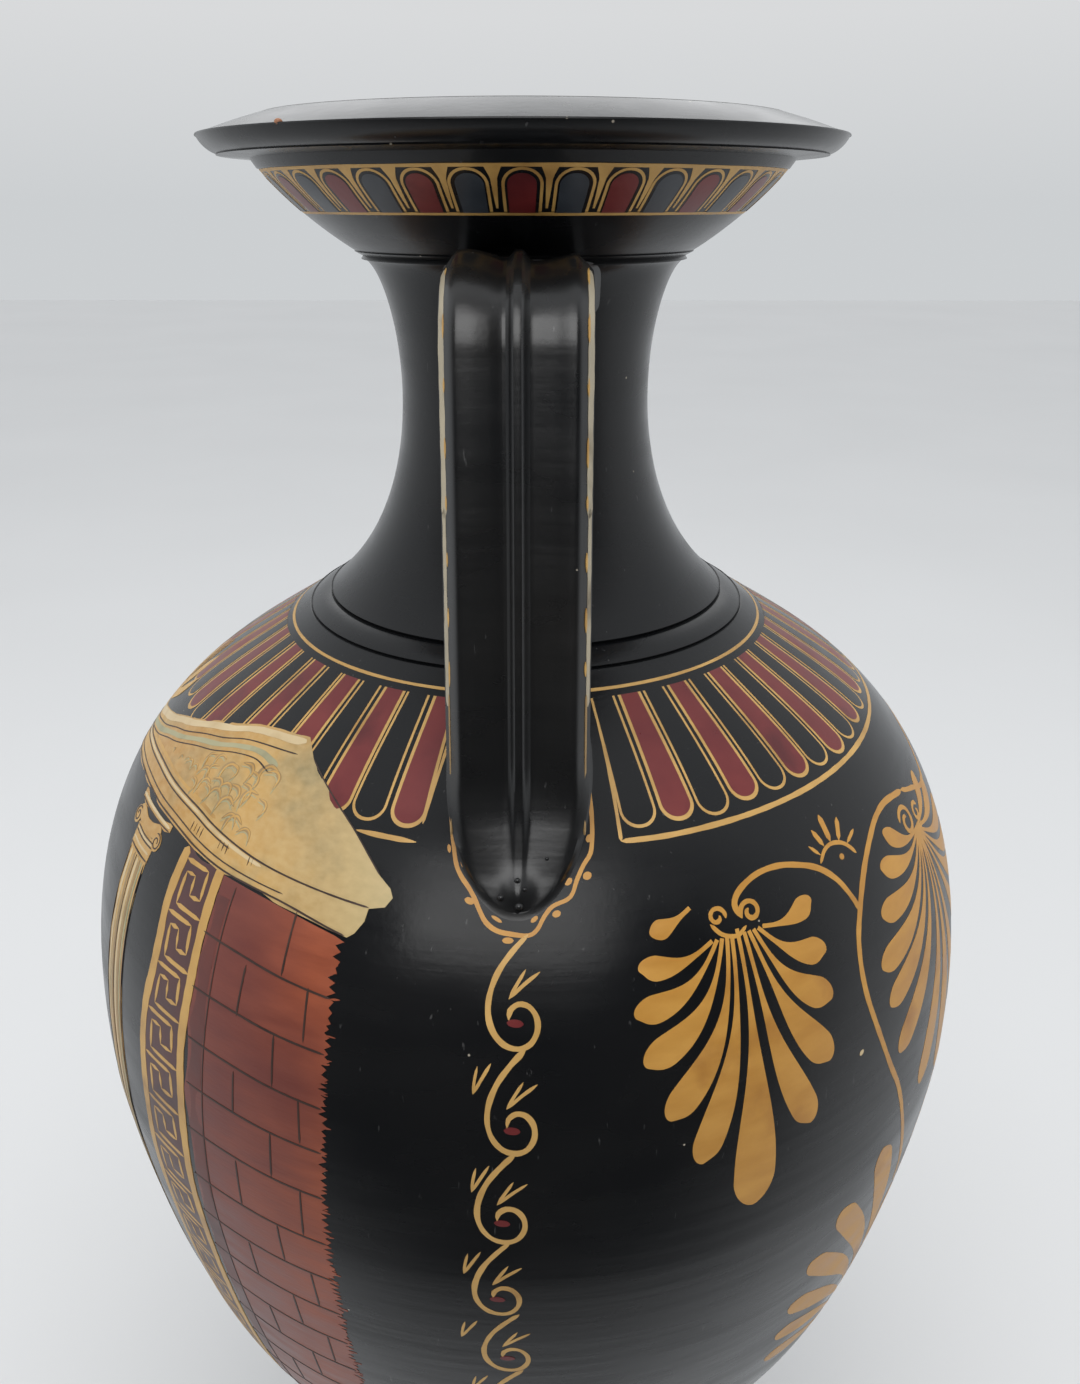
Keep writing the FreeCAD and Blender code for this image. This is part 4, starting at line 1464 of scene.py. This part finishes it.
# ---- painted pieces
for brush, name, slot, material in (
    (thin_ochre, "ochre_lines", "ochre_slip", ochre),
    (red_coat, "tongue_red", "red_slip", red),
    (black_coat, "tongue_black", "black_glaze", black),
    (vine, "vine", "ochre_slip", ochre),
    (vine_red, "vine_dots", "red_slip", red),
    (orange_line, "handle_border", "orange_slip", orange),
    (petals, "palmettes", "orange_slip", orange),
    (tendrils, "tendrils", "orange_slip", orange),
    (speck, "glaze_speck", "stone_slip", cream),
    (sand_paint, "temple_stone", "stone_slip", sand),
    (cream_paint, "temple_highlights", "stone_slip", cream),
    (cream_block, "temple_plinth", "stone_slip", cream),
    (relief_light, "temple_relief_light", "ochre_slip", ochre),
    (sage_paint, "temple_shadow", "stone_slip", sage),
    (shade_paint, "temple_relief", "stone_slip", shade),
    (umber_paint, "temple_drawing", "black_glaze", umber),
    (ochre_temple, "pilaster_borders", "ochre_slip", ochre),
    (maroon_paint, "pilaster_ground", "red_slip", maroon),
    (key_paint, "pilaster_key", "ochre_slip", ochre),
    (brick_wall, "brick_wall", "brick_slip", brick),
    (joints, "brick_joints", "black_glaze", umber),
    (dark_strip, "brick_shadow", "red_slip", brick_shadow),
):
    brush.mesh.build(name, slot, material)

for name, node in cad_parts.items():
    node.data.materials.clear()
    node.data.materials.append(clay if "coil" in name else handle_black)

# ---- stage, light and camera
CAMERA_REACH = 461.66
CAMERA_HEIGHT = 736.4
CAMERA_PITCH = 24.04
CAMERA_YAW = 0.75
LONG_SIDE = 1384
FOCAL = 1100
SENSOR = 36


FLOOR_REACH = 9
FLOOR_PALE = (0.66, 0.665, 0.67)
FLOOR_DIM = 0.97
FLOOR_ROUGHNESS = 0.9

floor_material, tree = started("floor")
clouds = between(tree, stretched_noise(tree, 1.5), 0, 1)
dimmer = tuple(part * FLOOR_DIM for part in FLOOR_PALE)
finished(floor_material, blended(tree, clouds, FLOOR_PALE, dimmer), None)
tree.nodes["Principled BSDF"].inputs["Roughness"].default_value = FLOOR_ROUGHNESS
floor_mesh = bpy.data.meshes.new("floor")
corners = [(x * FLOOR_REACH, y * FLOOR_REACH, 0) for x, y in ((-1, -1), (1, -1), (1, 1), (-1, 1))]
floor_mesh.from_pydata(corners, [], [(0, 1, 2, 3)])
floor_mesh.materials.append(floor_material)
floor = in_scene("floor", floor_mesh)
floor.visible_glossy = False


def softbox(name, place, aim, size, power, shines=True, lights=True):
    """A lamp panel out of the camera's sight; shines is for reflections and lights for everything else."""
    lamp = bpy.data.lights.new(name, "AREA")
    lamp.shape = "RECTANGLE"
    lamp.size, lamp.size_y = size
    lamp.energy = power
    lamp_object = in_scene(name, lamp)
    lamp_object.location = place
    lamp_object.visible_camera = False
    lamp_object.visible_glossy = shines
    lamp_object.visible_diffuse = lights
    lamp_object.rotation_euler = (Vector(aim) - Vector(place)).to_track_quat("-Z", "Y").to_euler()


# The white panels of the studio: place, what they aim at, size and power.
softbox("left_box", (0.9, -2, 1.7), (0, 0, 0.5), (1.6, 1.6), 9, shines=False)
softbox("right_box", (0.4, 2.2, 1.6), (0, 0, 0.5), (1.6, 1.6), 7, shines=False)
softbox("top_box", (0.95, 0, 2.1), (0, 0, 0.6), (1.5, 2.2), 22, shines=False)
softbox("arch_sheen", (1.75, -0.15, 2), (0.13, 0, 0.7), (1.9, 1.4), 19, lights=False)
softbox("back_sheen", (-2.2, 0, 2), (0, 0, 0.7), (3, 1.4), 11, lights=False)

sky = bpy.data.lights.new("overhead", "SUN")
sky.angle = math.radians(80)
sky.energy = 1.2
in_scene("overhead", sky).visible_glossy = False

# The camera sees a pale wall; reflections and soft light come from a room that is dim towards the camera.
ROOM_GREY = (0.66, 0.68, 0.70, 1)
HORIZON_GREY = (0.605, 0.625, 0.640)
UPPER_GREY = (0.69, 0.70, 0.71)
world = bpy.data.worlds.new("studio")
bpy.context.scene.world = world
world.use_nodes = True
tree = world.node_tree
backdrop = tree.nodes["Background"]
backdrop.inputs["Color"].default_value = ROOM_GREY
seen = new_node(tree, "ShaderNodeBackground")
mix = new_node(tree, "ShaderNodeMixShader")
path_node = new_node(tree, "ShaderNodeLightPath")
dim = between(tree, axis(tree, "X", "Generated"), 1, 0.05, 0.10, 0.66)
height_share = between(tree, axis(tree, "Z", "Generated"), 0, 1, 0, 0.13)
link(tree, blended(tree, height_share, HORIZON_GREY, UPPER_GREY), seen.inputs["Color"])
link(tree, dim, backdrop.inputs["Strength"])
link(tree, path_node.outputs["Is Camera Ray"], mix.inputs["Fac"])
link(tree, backdrop.outputs["Background"], mix.inputs[1])
link(tree, seen.outputs["Background"], mix.inputs[2])
link(tree, mix.outputs["Shader"], tree.nodes["World Output"].inputs["Surface"])

bpy.context.scene.view_settings.view_transform = "Standard"

camera_data = bpy.data.cameras.new("camera")
camera_data.sensor_width = SENSOR
camera_data.lens = SENSOR * FOCAL / LONG_SIDE
camera_data.clip_start = 0.01
camera = in_scene("camera", camera_data)
azimuth = math.radians(VIEW_TURN)
heading = azimuth + math.pi - math.radians(CAMERA_YAW)
pitch = math.radians(CAMERA_PITCH)
across, along = CAMERA_REACH * math.cos(azimuth), CAMERA_REACH * math.sin(azimuth)
camera.location = (across * MM, along * MM, CAMERA_HEIGHT * MM)
forward = Vector((math.cos(heading) * math.cos(pitch), math.sin(heading) * math.cos(pitch), -math.sin(pitch)))
camera.rotation_euler = forward.to_track_quat("-Z", "Y").to_euler()
bpy.context.scene.camera = camera
